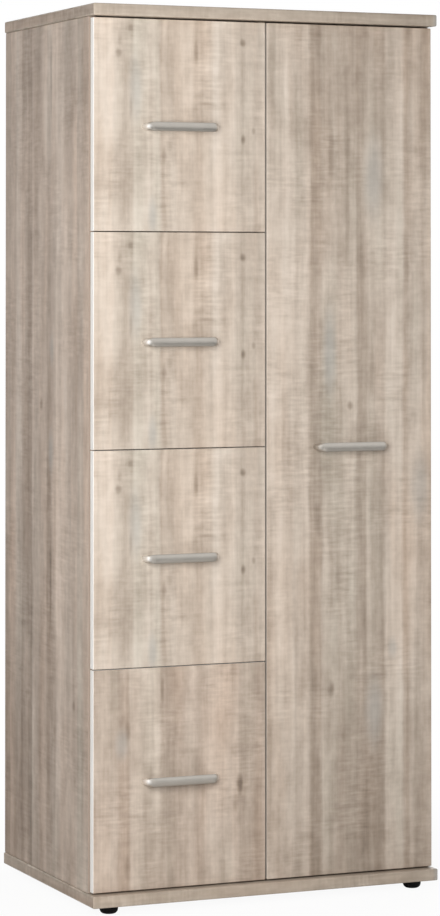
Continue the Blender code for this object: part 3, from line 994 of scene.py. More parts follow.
@dataclass
class Workshop:
    """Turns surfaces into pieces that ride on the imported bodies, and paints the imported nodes.

    Edges of a piece that turn by more degrees than the crease stay sharp.
    """

    made: int = 0
    crease: float = 40.0

    BANDED = 1
    BORED = 2

    def piece(
        self,
        name: str,
        surface: Surface,
        body: str,
        slot: str,
        materials: list[bpy.types.Material],
        replaces: tuple[str, ...] = (),
    ) -> bpy.types.Object:
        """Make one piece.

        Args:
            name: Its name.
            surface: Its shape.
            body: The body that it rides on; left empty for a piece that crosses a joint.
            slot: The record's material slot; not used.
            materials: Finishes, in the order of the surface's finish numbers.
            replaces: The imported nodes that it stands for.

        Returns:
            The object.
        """
        mesh = bpy.data.meshes.new(name)
        mesh.from_pydata(surface.points.tolist(), [], surface.faces)
        for material in materials:
            mesh.materials.append(material)
        if surface.finishes:
            mesh.polygons.foreach_set("material_index", np.array(surface.finishes, np.int32))
        if surface.rim is not None:
            mesh.attributes.new("rim", "FLOAT", "POINT").data.foreach_set("value", surface.rim.astype(np.float32))
        mesh.shade_smooth()
        mesh.set_sharp_from_angle(angle=math.radians(self.crease))
        mesh.update()
        obj = bpy.data.objects.new(name, mesh)
        bpy.context.scene.collection.objects.link(obj)
        if body:
            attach(obj, body)
        if replaces:
            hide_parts(*replaces)
        self.made += 1
        log.info("%s: %d faces on %s", name, len(mesh.polygons), body or "a joint")
        return obj

    def board(
        self,
        name: str,
        body: str,
        node: str,
        materials: list[bpy.types.Material],
        radius: float,
        banded: tuple[Side, ...],
        bores: "tuple[list[Point], float, float] | None" = None,
    ) -> None:
        """Make a rounded board in oak decor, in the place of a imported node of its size.

        The normal at a point is the way from the nearest point of the inner box, which is smaller by the radius all
        round, so the flat fields are shaded flat.

        Args:
            name: The piece's name.
            body: The body that it rides on.
            node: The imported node.
            materials: Its main finish, and the one of the banded fields.
            radius: Radius of its edges.
            banded: The sides whose flat field has the second finish.
            bores: Middles, radius and depth of blind holes in its back, if any.
        """
        low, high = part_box(node)
        faced = dict.fromkeys(banded, self.BANDED)
        if bores:
            faced[Side.BACK] = self.BORED
        shape = rounded_box(low, high, radius, faced)
        if bores:
            shape = shape.bored(self.BORED, *bores)
        shape.finishes = [int(mark == self.BANDED) for mark in shape.finishes]
        obj = self.piece(name, shape, body, "oak_decor", materials, (node,))
        centre, half = (np.array(low) + high) / 2, (np.array(high) - low) / 2
        reach = np.abs(shape.points - centre) - (half - radius)
        away = np.sign(shape.points - centre) * np.clip(reach, 0, None)
        length = np.linalg.norm(away, axis=1, keepdims=True)
        obj.data.normals_split_custom_set_from_vertices((away / np.maximum(length, 1e-9)).tolist())

    def paint(self, material: bpy.types.Material, *nodes: str) -> None:
        """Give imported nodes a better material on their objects' slots.

        Args:
            material: The material.
            nodes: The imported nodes' names.
        """
        for node in nodes:
            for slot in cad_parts[node].material_slots:
                slot.link = "OBJECT"
                slot.material = material


@dataclass
class Finishes:
    """Every material of the wardrobe, made once."""

    band: bpy.types.Material = field(init=False)
    door_band_painted_shade: bpy.types.Material = field(init=False)
    drawers: dict[int, bpy.types.Material] = field(init=False)
    door: bpy.types.Material = field(init=False)
    sides: dict[str, bpy.types.Material] = field(init=False)
    boards: dict[str, bpy.types.Material] = field(init=False)
    board_ends: bpy.types.Material = field(init=False)
    inner: dict[Grain, bpy.types.Material] = field(init=False)
    hardboard: bpy.types.Material = field(init=False)
    bottom: bpy.types.Material = field(init=False)
    nickel: bpy.types.Material = field(init=False)
    tube: bpy.types.Material = field(init=False)
    hinge: bpy.types.Material = field(init=False)
    pale: bpy.types.Material = field(init=False)
    black: bpy.types.Material = field(init=False)

    INNER_FOIL = (206, 191, 172)
    THIN_BOARD = (198, 182, 162)

    def __post_init__(self) -> None:
        """Make them."""
        self.band = Band("white_edge_band", Band.WHITE).make()
        # The door's edge band: a pale band colour, greyer than the drawers' white to paint the shade in the gap
        # beside the drawers.
        self.door_band_painted_shade = Band("pale_door_band", (196, 190, 182)).make()
        *upper, lowest = DRAWER_NUMBERS
        self.drawers = {number: self._drawer(number) for number in upper} | {lowest: self._lowest_drawer()}
        self.door = self._door()
        self.sides = {"left": self._side("left", 1.0), "right": self._side("right", 4.0)}
        self.boards = {"top": self._board("top", 0.0, -0.17), "base": self._board("base", 3.0, -0.12)}
        self.board_ends = self._board_end()
        self.inner = {
            grain: PlainDecor(f"inner_decor_{grain.name.lower()}", grain, self.INNER_FOIL).make()
            for grain in (Grain.SIDE, Grain.LENGTHWISE, Grain.DEPTHWISE)
        }
        self.hardboard = PlainDecor("back_board", Grain.FRONT, self.THIN_BOARD, raw_way=(0.0, 1.0, 0.0)).make()
        self.bottom = PlainDecor(
            "drawer_bottom", Grain.DEPTHWISE, self.THIN_BOARD, raw_way=(0.0, 0.0, -1.0)
        ).make()
        # The handles' metal: its rim share paints shade along the bars' upper and lower edges, and their bends get a
        # painted highlight.
        self.nickel = Metal("satin_nickel", (199, 193, 185), 0.38, rim=0.15).make()
        self.tube = Metal("satin_steel_tube", (200, 199, 196), 0.34).make()
        self.hinge = Metal("hinge_nickel", (210, 207, 201), 0.36, Layer(300, 300, 3, weight=1.2)).make()
        self.pale = Moulded("pale_plastic", (222, 219, 212), 0.48).make()
        self.black = Moulded("black_plastic", (9, 9, 10), 0.50, specular=0.15).make()

    @staticmethod
    def _drawer(number: int) -> bpy.types.Material:
        """The print of one of the three upper drawer fronts, which repeats from front to front.

        Args:
            number: The drawer, 1 at the top.

        Returns:
            The material, its marks measured from the front's lower edge.
        """
        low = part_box(f"drawer_{number}_front")[0][2]
        return OakDecor(
            f"oak_decor_drawer_{number}",
            Grain.FRONT,
            (
                Plank(-0.394, 0.75, 0.35),
                Plank(-0.352, 0.05, -0.15),
                Plank(-0.303, 0.60, -0.45),
                Plank(-0.262, 0.30, -0.65),
                Plank(-0.243, -0.35, 0.45),
                Plank(-0.200, -0.15, 0.35),
                Plank(-0.125, 0.50, 0.20),
                Plank(-0.073, -0.25, -0.05),
                Plank(-0.050, -0.30, -0.05),
                Plank(-0.028, -0.35, 0.25),
            ),
            (-0.394, -0.002),
            (
                Mark(-0.340, 0.372, 0.010, 0.012, 0.20),
                Mark(-0.336, 0.404, 0.007, 0.022, 0.12),
                Mark(-0.310, 0.427, 0.007, 0.010, 0.12),
                Mark(-0.311, 0.260, 0.004, 0.030, 0.12),
                Mark(-0.310, 0.110, 0.060, 0.120, 0.13),
                Mark(-0.372, 0.110, 0.036, 0.130, 0.17),
                Mark(-0.222, 0.350, 0.016, 0.130, 0.12),
                Mark(-0.265, 0.230, 0.008, 0.250, 0.10),
                Mark(-0.055, 0.403, 0.008, 0.010, 0.22),
                Mark(-0.160, 0.380, 0.006, 0.030, 0.14),
                Mark(-0.055, 0.196, 0.007, 0.012, 0.24),
                Mark(-0.030, 0.214, 0.006, 0.009, 0.16),
                Mark(-0.233, 0.160, 0.007, 0.022, 0.16),
                Mark(-0.222, 0.180, 0.009, 0.018, 0.08),
                Mark(-0.200, 0.102, 0.055, 0.007, 0.07),
                Mark(-0.236, 0.080, 0.007, 0.090, 0.06),
            ),
            (Mark(-0.300, 0.300, 0.020, 0.090, 0.30), Mark(-0.262, 0.030, 0.014, 0.050, 0.35)),
            origin=low,
            shade=(0.03, -0.01, 0.01)[number - 1],
            contrast=0.9,
            edge_way=(-1.0, 0.0, 0.0),
            edge=Band.WHITE,
        ).make()

    @staticmethod
    def _lowest_drawer() -> bpy.types.Material:
        """The print of the lowest drawer front, cut from another part of the decor.

        Returns:
            The material.
        """
        return OakDecor(
            "oak_decor_drawer_4",
            Grain.FRONT,
            (
                Plank(-0.394, 0.50, 0.10),
                Plank(-0.358, -0.20, -0.10),
                Plank(-0.338, -0.95, 0.10),
                Plank(-0.313, 0.40, -0.35),
                Plank(-0.278, 0.30, -0.10),
                Plank(-0.243, -0.25, 0.25),
                Plank(-0.206, 0.45, 0.40),
                Plank(-0.170, -0.15, 0.40),
                Plank(-0.138, -0.10, 0.15),
                Plank(-0.098, 0.65, 0.15),
                Plank(-0.063, -0.35, -0.10),
                Plank(-0.030, -0.30, 0.15),
            ),
            (-0.394, -0.002),
            (
                Mark(-0.062, 0.252, 0.009, 0.026, 0.32),
                Mark(-0.070, 0.212, 0.010, 0.022, 0.14),
                Mark(-0.318, 0.375, 0.008, 0.030, 0.14),
                Mark(-0.318, 0.095, 0.009, 0.030, 0.14),
                Mark(-0.237, 0.460, 0.006, 0.034, 0.16),
                Mark(-0.180, 0.330, 0.050, 0.008, 0.06),
            ),
            (Mark(-0.330, 0.350, 0.020, 0.040, 0.35),),
            shift=2.0,
            shade=-0.12,
            tint=(1.05, 1.02, 1.012),
            edge_way=(-1.0, 0.0, 0.0),
            edge=Band.WHITE,
        ).make()

    @staticmethod
    def _door() -> bpy.types.Material:
        """The print of the tall door.

        Returns:
            The material.
        """
        return OakDecor(
            "oak_decor_door",
            Grain.FRONT,
            (
                Plank(0.002, 0.45, 0.25),
                Plank(0.022, 0.58, 0.35),
                Plank(0.062, 0.35, 0.10),
                Plank(0.102, -0.75, 0.10),
                Plank(0.130, 0.10, -0.35),
                Plank(0.168, 0.00, -0.10),
                Plank(0.215, -0.45, 0.20),
                Plank(0.245, -0.30, 0.00),
                Plank(0.282, 0.45, -0.10),
                Plank(0.325, -0.50, 0.45),
                Plank(0.340, -0.05, 0.25),
                Plank(0.372, -0.15, 0.40),
            ),
            (0.002, 0.394),
            (
                Mark(0.197, 1.050, 0.008, 0.012, 0.22),
                Mark(0.155, 1.590, 0.009, 0.070, 0.10),
                Mark(0.152, 0.440, 0.010, 0.022, 0.18),
                Mark(0.250, 1.135, 0.006, 0.085, 0.14),
                Mark(0.228, 1.370, 0.016, 0.080, 0.10),
                Mark(0.230, 0.160, 0.018, 0.100, 0.10),
                Mark(0.121, 0.810, 0.010, 0.045, 0.16),
                Mark(0.332, 1.340, 0.010, 0.042, 0.12),
                Mark(0.060, 1.240, 0.060, 0.008, 0.05),
                Mark(0.190, 0.690, 0.070, 0.008, 0.05),
                Mark(0.242, 0.620, 0.009, 0.450, -0.20),
                Mark(0.182, 1.620, 0.010, 0.260, -0.13),
                Mark(0.008, 0.430, 0.030, 0.450, 0.13),
                Mark(0.088, 0.520, 0.028, 0.280, 0.11),
                Mark(0.142, 0.400, 0.016, 0.160, 0.09),
                # The last two marks are broad darker areas over the door's top and bottom.
                Mark(0.150, 1.800, 0.450, 0.450, 0.08),
                Mark(0.150, 0.100, 0.450, 0.420, 0.08),
            ),
            (
                Mark(0.150, 1.165, 0.020, 0.120, 0.40),
                Mark(0.255, 1.540, 0.028, 0.115, 0.35),
                Mark(0.255, 0.390, 0.028, 0.095, 0.35),
                Mark(0.300, 0.525, 0.014, 0.030, 0.30),
                Mark(0.366, 0.870, 0.026, 0.095, 0.30),
            ),
            shift=5.0,
            shade=-0.06,
            tint=(1.02, 1.014, 1.014),
            plank_depth=0.18,
        ).make()

    @staticmethod
    def _side(label: str, shift: float) -> bpy.types.Material:
        """The print of a side panel.

        Args:
            label: "left" or "right".
            shift: Moves the noise, so that the two differ.

        Returns:
            The material.
        """
        return OakDecor(
            f"oak_decor_side_{label}",
            Grain.SIDE,
            (
                Plank(-0.237, 0.15, 0.55),
                Plank(-0.205, -0.12, -0.30),
                Plank(-0.170, 0.22, 0.35),
                Plank(-0.132, 0.15, 0.10),
                Plank(-0.095, 0.20, 0.20),
                Plank(-0.042, -0.35, 0.25),
                Plank(0.015, 0.00, 0.40),
                Plank(0.062, 0.10, 0.15),
                Plank(0.108, -0.80, 0.30),
                Plank(0.135, -0.35, 0.30),
                Plank(0.175, 0.22, 0.05),
                Plank(0.212, 0.10, 0.60),
                Plank(0.250, -0.20, 0.35),
            ),
            (-0.237, 0.2855),
            (
                Mark(-0.010, 1.750, 0.008, 0.110, 0.16),
                Mark(-0.010, 0.680, 0.008, 0.120, 0.16),
                Mark(0.120, 1.200, 0.012, 0.350, 0.06),
                Mark(0.050, 1.050, 0.012, 0.016, 0.18),
                Mark(-0.150, 0.420, 0.010, 0.014, 0.16),
                # The last three marks are broad darker areas: one over the lower part of the panel, two over its top,
                # one of them towards the front.
                Mark(0.020, 0.150, 0.900, 0.600, 0.10),
                Mark(0.020, 1.680, 0.260, 0.450, 0.07),
                Mark(-0.160, 1.780, 0.130, 0.220, 0.11),
            ),
            (Mark(-0.010, 0.950, 0.020, 0.060, 0.35), Mark(-0.015, 1.170, 0.018, 0.045, 0.30)),
            shift=shift,
            shade=-0.05,
            contrast=1.3,
            tint=(1.045, 1.018, 1.018),
            plank_depth=0.25,
            fine=0.6,
            band_width=2.3,
            edge=(166, 150, 137),
        ).make()

    @staticmethod
    def _board(label: str, shift: float, shade: float) -> bpy.types.Material:
        """The print of the top or base board, its grain along the board.

        Args:
            label: "top" or "base".
            shift: Moves the noise, so that the two differ.
            shade: Lighter (positive) or darker than the decor's middle tone.

        Returns:
            The material.
        """
        return OakDecor(
            f"oak_decor_{label}_board",
            Grain.LENGTHWISE,
            (
                Plank(-0.275, 0.10, 0.10),
                Plank(-0.215, 0.30, 0.10),
                Plank(-0.150, -0.30, 0.30),
                Plank(-0.080, 0.15, -0.20),
                Plank(-0.010, -0.20, 0.20),
                Plank(0.060, 0.40, 0.00),
                Plank(0.130, -0.50, 0.20),
                Plank(0.150, 0.10, -0.10),
                Plank(0.220, -0.20, 0.30),
            ),
            (-0.275, 0.2855),
            # The first mark darkens the board's front towards its right end, partly print and partly painted shade
            # where the light falls off. The grey mark over the last centimetre of the right end is painted shade, as
            # on an end turned away from the light.
            (Mark(-0.275, 0.300, 0.060, 0.260, 0.07), Mark(0.020, -0.120, 0.012, 0.018, 0.20)),
            (Mark(-0.275, 0.400, 0.040, 0.012, 0.45),),
            shift=shift,
            shade=shade,
            tint=(1.035, 1.052, 1.05),
            fine=0.5,
        ).make()

    @staticmethod
    def _board_end() -> bpy.types.Material:
        """The darker band on the short ends of the boards, its grain from front to back.

        Returns:
            The material.
        """
        return OakDecor(
            "oak_decor_board_end",
            Grain.DEPTHWISE,
            (Plank(0.017, -0.2, 0.3), Plank(0.024, 0.1, 0.1), Plank(1.874, -0.1, 0.2), Plank(1.889, -0.5, 0.3)),
            (0.017, 1.897),
            shade=-0.285,
            tint=(1.06, 1.03, 1.02),
        ).make()


@dataclass
class SubAssembly:
    """A part of the wardrobe, the workshop that makes its pieces and the finishes that they get."""

    shop: Workshop
    finishes: Finishes


@dataclass
class BowHandle(SubAssembly):
    """A satin bow handle: a crowned flat bar whose ends bend down to two feet."""

    spacing: float = 0.160
    flat: float = 0.130
    projection: float = 0.028
    thickness: float = 0.005
    height: float = 0.019
    foot_length: float = 0.014
    foot_height: float = 0.012
    crown: float = 0.0018
    section_power: float = 2.9
    # Strength of the painted highlight on the bends; 0 paints none.
    painted_highlight: float = 1.2
    screw_radius: float = 0.0042
    stations: int = 20
    around: int = 48

    def surface(self, middle: Point) -> Surface:
        """The handle's skin: a superellipse section carried along the bow.

        The path runs out along a quarter ellipse, along the straight bar and back. The section's half thickness and
        half height go from the foot's to the bar's with the sine of the turn. Its outer side falls back by the crown
        times the square of the height. The rim value, painted shade towards the bar's upper and lower edges, is the
        height's share squared, less the strength of the painted highlight times the square of the turn's cosine, so
        that the bends, painted pale as a highlight, are under 0.

        Args:
            middle: Middle of the two feet on the front's face.

        Returns:
            The surface.
        """
        turn = np.linspace(0, math.pi / 2, self.stations)[:, None]
        blend = np.sin(turn)
        half_thickness = (self.foot_length * (1 - blend) + self.thickness * blend) / 2
        half_height = (self.foot_height * (1 - blend) + self.height * blend) / 2
        run = (self.spacing - self.flat) / 2
        bar_line = self.projection - self.thickness / 2
        section = outline(1, 1, self.section_power, self.around)
        across = section[:, 0] * half_thickness + self.crown * blend * section[:, 1] ** 2 * (1 - section[:, 0]) / 2
        rings = np.stack(
            [
                run * (1 - np.cos(turn)) - self.spacing / 2 + np.cos(turn) * across,
                -bar_line * blend + blend * across,
                half_height * section[:, 1],
            ],
            -1,
        )
        whole = swept(np.concatenate([rings, rings[::-1] * (-1, 1, 1)]))
        # Painted shade towards the section's upper and lower edges, less the painted highlight on the bends.
        rim = section[:, 1] ** 2 * blend - self.painted_highlight * np.cos(turn) ** 2
        whole.rim = np.concatenate([rim.ravel(), rim[::-1].ravel(), [0.0, 0.0]])
        return whole.moved(middle)

    def screws(self, middle: Point, back: float) -> Surface:
        """The two screw heads on the inside of the front.

        Args:
            middle: Middle of the two feet.
            back: The Y of the front's back face.

        Returns:
            The surface.
        """
        places = [(middle[0] + side * self.spacing / 2, back, middle[2]) for side in (-1, 1)]
        return joined([screw_head(place, 1, 1, self.screw_radius) for place in places])

    def fit(self, label: str, panel: str) -> None:
        """Put a handle with its screws on a front.

        Args:
            label: The body's name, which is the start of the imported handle's too.
            panel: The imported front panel.
        """
        low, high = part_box(panel)
        handle_low, handle_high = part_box(f"{label}_handle")
        middle = ((handle_low[0] + handle_high[0]) / 2, low[1], (handle_low[2] + handle_high[2]) / 2)
        bow, screws = self.surface(middle), self.screws(middle, high[1])
        self.shop.piece(f"{label}_bow", bow, label, "satin_metal", [self.finishes.nickel], (f"{label}_handle",))
        self.shop.piece(f"{label}_bow_screws", screws, label, "hinge_steel", [self.finishes.hinge])


@dataclass
class Carcass(SubAssembly):
    """The boards that stay still, with their feet, back, runners and fittings."""

    board_round: float = 0.003
    foot_radius: float = 0.0195
    foot_sole: float = 0.0105
    foot_dome: float = 0.0105
    foot_groove: float = 0.0009
    dome_steps: int = 10
    nail_spacing: float = 0.145
    nail_inset: float = 0.006
    nail_start: float = 0.030
    nail_stop: float = 0.020
    cap_radius: float = 0.0085
    cap_inset: float = 0.060
    cap_height: float = 0.034
    runner_screw_radius: float = 0.0030
    runner_screw_shares: tuple[float, ...] = (0.08, 0.5, 0.92)

    NAIL_PROFILE = ((0.0022, 0.0), (0.0022, 0.0002), (0.0012, 0.0005))
    CAP_SHARES = ((1.0, 0.0), (1.0, 0.06), (0.92, 0.10), (0.80, 0.10), (0.74, 0.06))

    def build(self) -> None:
        """Make and paint everything on the carcass but the hanging space."""
        shop, finishes, ends = self.shop, self.finishes, (Side.LEFT, Side.RIGHT)
        for label in ("top", "base"):
            materials = [finishes.boards[label], finishes.board_ends]
            shop.board(f"{label}_board", "carcass", f"{label}_panel", materials, self.board_round, ends)
        for label in ("left", "right"):
            shop.paint(finishes.sides[label], f"side_panel_{label}")
            shop.paint(finishes.hardboard, f"back_panel_{label}")
        shop.paint(finishes.inner[Grain.SIDE], "centre_partition")
        shop.paint(finishes.pale, "back_joint_strip")
        for number in DRAWER_NUMBERS:
            shop.paint(finishes.pale, f"runner_{number}_left", f"runner_{number}_right")
        self._feet()
        self._nails()
        self._cam_covers()
        self._runner_screws()

    def _feet(self) -> None:
        """Four glides: a flat sole, a dome that is a quarter ellipse in section, and a groove under the rim."""
        radius, waist = self.foot_radius, self.foot_radius - self.foot_groove
        bulge = radius - self.foot_sole
        turns = np.linspace(math.pi / 2, 0, self.dome_steps)
        dome = [(self.foot_sole + bulge * math.cos(t), self.foot_dome * (1 - math.sin(t))) for t in turns]
        rim = [(radius, 0.0032), (waist, 0.0028), (waist, 0.0019), (radius, 0.0015), (radius, 0.0)]
        for row in ("front", "rear"):
            for label in ("left", "right"):
                node = f"foot_{row}_{label}"
                low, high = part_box(node)
                centre = ((low[0] + high[0]) / 2, (low[1] + high[1]) / 2, low[2])
                shape = turned(dome + [(across, high[2] - low[2] - down) for across, down in rim], centre)
                black = [self.finishes.black]
                self.shop.piece(f"glide_{row}_{label}", shape, "carcass", "black_plastic", black, (node,))

    def _nails(self) -> None:
        """Small nail heads that hold the back panels along their outer edges."""
        heads = []
        for side, label in ((-1, "left"), (1, "right")):
            low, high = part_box(f"back_panel_{label}")
            across = (high[0] if side > 0 else low[0]) - side * self.nail_inset
            levels = np.arange(low[2] + self.nail_start, high[2] - self.nail_stop, self.nail_spacing)
            heads += [turned(self.NAIL_PROFILE, (across, high[1], level), 1) for level in levels]
        self.shop.piece("back_nails", joined(heads), "carcass", "hinge_steel", [self.finishes.hinge])

    def _cam_covers(self) -> None:
        """Round caps over the corner fittings in the hanging space, a shallow dish in each."""
        side_low, side_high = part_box("side_panel_right")
        wall_low, wall_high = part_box("centre_partition")
        profile = [(self.cap_radius * radius, self.cap_radius * height) for radius, height in self.CAP_SHARES]
        caps = [
            turned(profile, (face, along, level), 0, sign)
            for face, sign in ((side_low[0], -1), (wall_high[0], 1))
            for along in (wall_low[1] + self.cap_inset, wall_high[1] - self.cap_inset)
            for level in (side_low[2] + self.cap_height, side_high[2] - self.cap_height)
        ]
        self.shop.piece("cam_covers", joined(caps), "carcass", "pale_plastic", [self.finishes.pale])

    def _runner_screws(self) -> None:
        """Three screw heads along each runner strip, sunk in its face."""
        heads = []
        for number in DRAWER_NUMBERS:
            for label, sign in (("left", 1), ("right", -1)):
                low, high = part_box(f"runner_{number}_{label}")
                face = high[0] if sign > 0 else low[0]
                for share in self.runner_screw_shares:
                    place = (face, low[1] + (high[1] - low[1]) * share, (low[2] + high[2]) / 2)
                    heads.append(screw_head(place, 0, sign, self.runner_screw_radius))
        self.shop.piece("runner_screws", joined(heads), "carcass", "hinge_steel", [self.finishes.hinge])


@dataclass
class HangingSpace(SubAssembly):
    """Hat shelf, oval clothes rail and the two sockets that hold it."""

    rail_half_height: float = 0.015
    rail_half_depth: float = 0.0075
    rail_wall: float = 0.0012
    rail_play: float = 0.0003
    rail_stations: int = 9
    socket_wall: float = 0.0028
    socket_depth: float = 0.0117
    socket_floor: float = 0.003
    flange_thickness: float = 0.0027
    flange_up: float = 0.006
    flange_side: float = 0.003
    screw_reach: float = 0.0208
    screw_radius: float = 0.0025

    def build(self) -> None:
        """Make the rail and its sockets, and paint the shelf."""
        self.shop.paint(self.finishes.inner[Grain.LENGTHWISE], "hat_shelf")
        low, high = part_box("clothes_rail")
        middle = ((low[1] + high[1]) / 2, (low[2] + high[2]) / 2)
        self._rail(low[0], high[0], middle)
        for label, sign in (("left", 1), ("right", -1)):
            low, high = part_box(f"rail_socket_{label}")
            self._socket(label, sign, low[0] if sign > 0 else high[0], middle)

    def _rail(self, start: float, end: float, middle: tuple[float, float]) -> None:
        """An oval tube with open ends: an outer and an inner ellipse carried along X, joined at both ends.

        Args:
            start: The tube's left end.
            end: Its right end.
            middle: Its middle in Y and Z.
        """
        levels = np.linspace(start, end, self.rail_stations)
        outer = [ring(self.rail_half_depth, self.rail_half_height, x, 0, middle=middle) for x in levels]
        inner_size = (self.rail_half_depth - self.rail_wall, self.rail_half_height - self.rail_wall)
        inner = [ring(*inner_size, x, 0, middle=middle) for x in levels[::-1]]
        shape = swept(np.array(outer + inner), closed=True)
        self.shop.piece("hanging_rail", shape, "carcass", "satin_metal", [self.finishes.tube], ("clothes_rail",))

    def _socket(self, label: str, sign: int, seat: float, middle: tuple[float, float]) -> None:
        """A rail socket: rounded screw flange, oval wall with a rounded lip, and a floor.

        Ellipses of the half sizes in the profile, each grown a little at a rounding, are joined at their heights
        over the seat. Two screws sit on the flange.

        Args:
            label: "left" or "right".
            sign: The way that it opens along X.
            seat: The X of its back.
            middle: Its middle in Y and Z.
        """
        inner = (self.rail_half_depth + self.rail_play, self.rail_half_height + self.rail_play)
        outer = (self.rail_half_depth + self.socket_wall, self.rail_half_height + self.socket_wall)
        flange = (outer[0] + self.flange_side, outer[1] + self.flange_up)
        face, floor, lip = self.flange_thickness, self.socket_floor, self.socket_depth
        profile = [
            (flange, 0.0, 0.0),
            (flange, 0.0, face - 0.0011),
            (flange, -0.0006, face),
            (outer, 0.0006, face),
            (outer, 0.0, face + 0.0009),
            (outer, 0.0, lip - 0.0009),
            (outer, -0.0005, lip),
            (inner, 0.0005, lip),
            (inner, 0.0, lip - 0.0009),
            (inner, 0.0, floor),
        ]
        rings = [
            ring(size[0] + grow, size[1] + grow, seat + sign * height, 0, middle=middle)
            for size, grow, height in profile
        ]
        shape = swept(np.array(rings[::sign]))
        places = [(seat + sign * face, middle[0], middle[1] + side * self.screw_reach) for side in (-1, 1)]
        screws = [screw_head(place, 0, sign, self.screw_radius).finished(1) for place in places]
        whole, node = joined([shape, *screws]), f"rail_socket_{label}"
        materials = [self.finishes.pale, self.finishes.hinge]
        self.shop.piece(f"rail_holder_{label}", whole, "carcass", "pale_plastic", materials, (node,))


@dataclass
class Hinge(SubAssembly):
    """A concealed hinge: cup in the door, arm on its plate on the side panel, and the link between them."""

    number: int
    cup_radius: float = 0.0175
    bore: float = 0.0155
    cup_depth: float = 0.0115
    cup_floor: float = 0.002
    flange_power: float = 2.6
    cup_screw_inset: float = 0.0052
    cup_screw_radius: float = 0.0034
    arm_rise: float = 0.014
    arm_half_height: float = 0.007
    arm_power: float = 5.0
    plate_along: float = 0.0365
    plate_half_width: float = 0.0090
    plate_half_height: float = 0.0260
    plate_thickness: float = 0.0026
    plate_power: float = 4.0
    plate_screw_reach: float = 0.0165
    plate_screw_radius: float = 0.0042
    link_half_height: float = 0.0048
    link_half_width: float = 0.0022
    link_power: float = 4.0
    link_sink: float = 0.0085
    link_overlap: float = 0.0030
    link_stations: int = 15

    ARM_SCREWS = ((0.0150, 0.0034), (0.0365, 0.0040), (0.0500, 0.0030))

    def build(self) -> None:
        """Make the hinge's three pieces."""
        name, steel = f"hinge_{self.number}", [self.finishes.hinge]
        cup_node, arm_node = f"hinge_cup_{self.number}", f"hinge_arm_{self.number}"
        centre = self.mouth()
        cup = self._cup(centre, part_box(cup_node)[1])
        self.shop.piece(f"{name}_cup", cup, "door", "hinge_steel", steel, (cup_node,))
        low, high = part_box(arm_node)
        arm = self._arm(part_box("side_panel_right")[0][0], low[1], high[1], centre[2])
        self.shop.piece(f"{name}_arm", arm, "carcass", "hinge_steel", steel, (arm_node,))
        self._link(centre, low[1])

    def mouth(self) -> Point:
        """The middle of the cup's mouth, on the door's back face."""
        low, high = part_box(f"hinge_cup_{self.number}")
        return ((low[0] + high[0]) / 2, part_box("door_panel")[1][1], (low[2] + high[2]) / 2)

    def _cup(self, centre: Point, high: Point) -> Surface:
        """The cup: rings of its outside, oval flange and hollow, one after the other along Y, and two screws.

        Each ring is a superellipse of two half sizes at a level from the door's back face. The round ones have the
        power 2, and the flange's have its own.

        Args:
            centre: Middle of its mouth on the door's back face.
            high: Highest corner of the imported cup, which gives the flange's size.

        Returns:
            The surface.
        """
        face = high[1] - centre[1]
        half_width, half_height = high[0] - centre[0], high[2] - centre[2]
        radius, bore, power = self.cup_radius, self.bore, self.flange_power
        profile = [
            (radius - 0.0010, radius - 0.0010, -self.cup_depth, 2),
            (radius, radius, 0.0010 - self.cup_depth, 2),
            (radius, radius, 0.0003, 2),
            (half_height, half_width, 0.0003, power),
            (half_height, half_width, face - 0.0003, power),
            (half_height - 0.0004, half_width - 0.0004, face, power),
            (bore + 0.0007, bore + 0.0007, face, 2),
            (bore, bore, face - 0.0008, 2),
            (bore, bore, self.cup_floor - self.cup_depth + 0.0016, 2),
            (bore - 0.0016, bore - 0.0016, self.cup_floor - self.cup_depth, 2),
        ]
        rings = [ring(first, second, level, 1, shape) for first, second, level, shape in profile]
        cup = swept(np.array(rings) + np.array(centre))
        reach = half_height - self.cup_screw_inset
        places = [(centre[0], centre[1] + face, centre[2] + side * reach) for side in (-1, 1)]
        return joined([cup, *(screw_head(place, 1, 1, self.cup_screw_radius) for place in places)])

    def _arm(self, wall: float, front: float, rear: float, level: float) -> Surface:
        """The arm and its plate: rounded sections carried along Y and X, and their screws.

        A station of the arm gives the way along it, how far its underside and its top stand off the side panel, and
        its half height. The plate's sections shrink where its rim is rounded.

        Args:
            wall: The X of the side panel's inner face.
            front: The Y of the arm's front end.
            rear: The Y of its rear end.
            level: Its height.

        Returns:
            The surface.
        """
        half = self.arm_half_height
        stations = [
            (0.0, 0.0052, 0.0128, half - 0.0010),
            (0.0008, 0.0048, 0.0136, half - 0.0002),
            (0.0030, 0.0047, self.arm_rise, half),
            (0.0210, 0.0047, self.arm_rise, half),
            (0.0265, 0.0022, self.arm_rise, half),
            (0.0440, 0.0022, self.arm_rise, half),
            (0.0560, 0.0022, 0.0136, half),
            (0.0600, 0.0022, 0.0080, half - 0.0006),
            (rear - front, 0.0022, 0.0044, half - 0.0016),
        ]
        arm = [
            ring(height, (top - base) / 2, front + along, 1, self.arm_power, (level, wall - (top + base) / 2))
            for along, base, top, height in stations
        ]
        middle, face = front + self.plate_along, self.plate_thickness
        width, height = self.plate_half_width, self.plate_half_height
        plate = [
            ring(width - shrink, height - shrink, wall - off, 0, self.plate_power, (middle, level))
            for off, shrink in ((face, 0.0006), (face - 0.0005, 0.0), (0.0003, 0.0))
        ]
        screws = [
            screw_head((wall - face, middle, level + side * self.plate_screw_reach), 0, -1, self.plate_screw_radius)
            for side in (-1, 1)
        ]
        setting_screws = [
            screw_head((wall - self.arm_rise, front + along, level), 0, -1, radius)
            for along, radius in self.ARM_SCREWS
        ]
        return joined([swept(np.array(arm)), swept(np.array(plate)), *screws, *setting_screws])

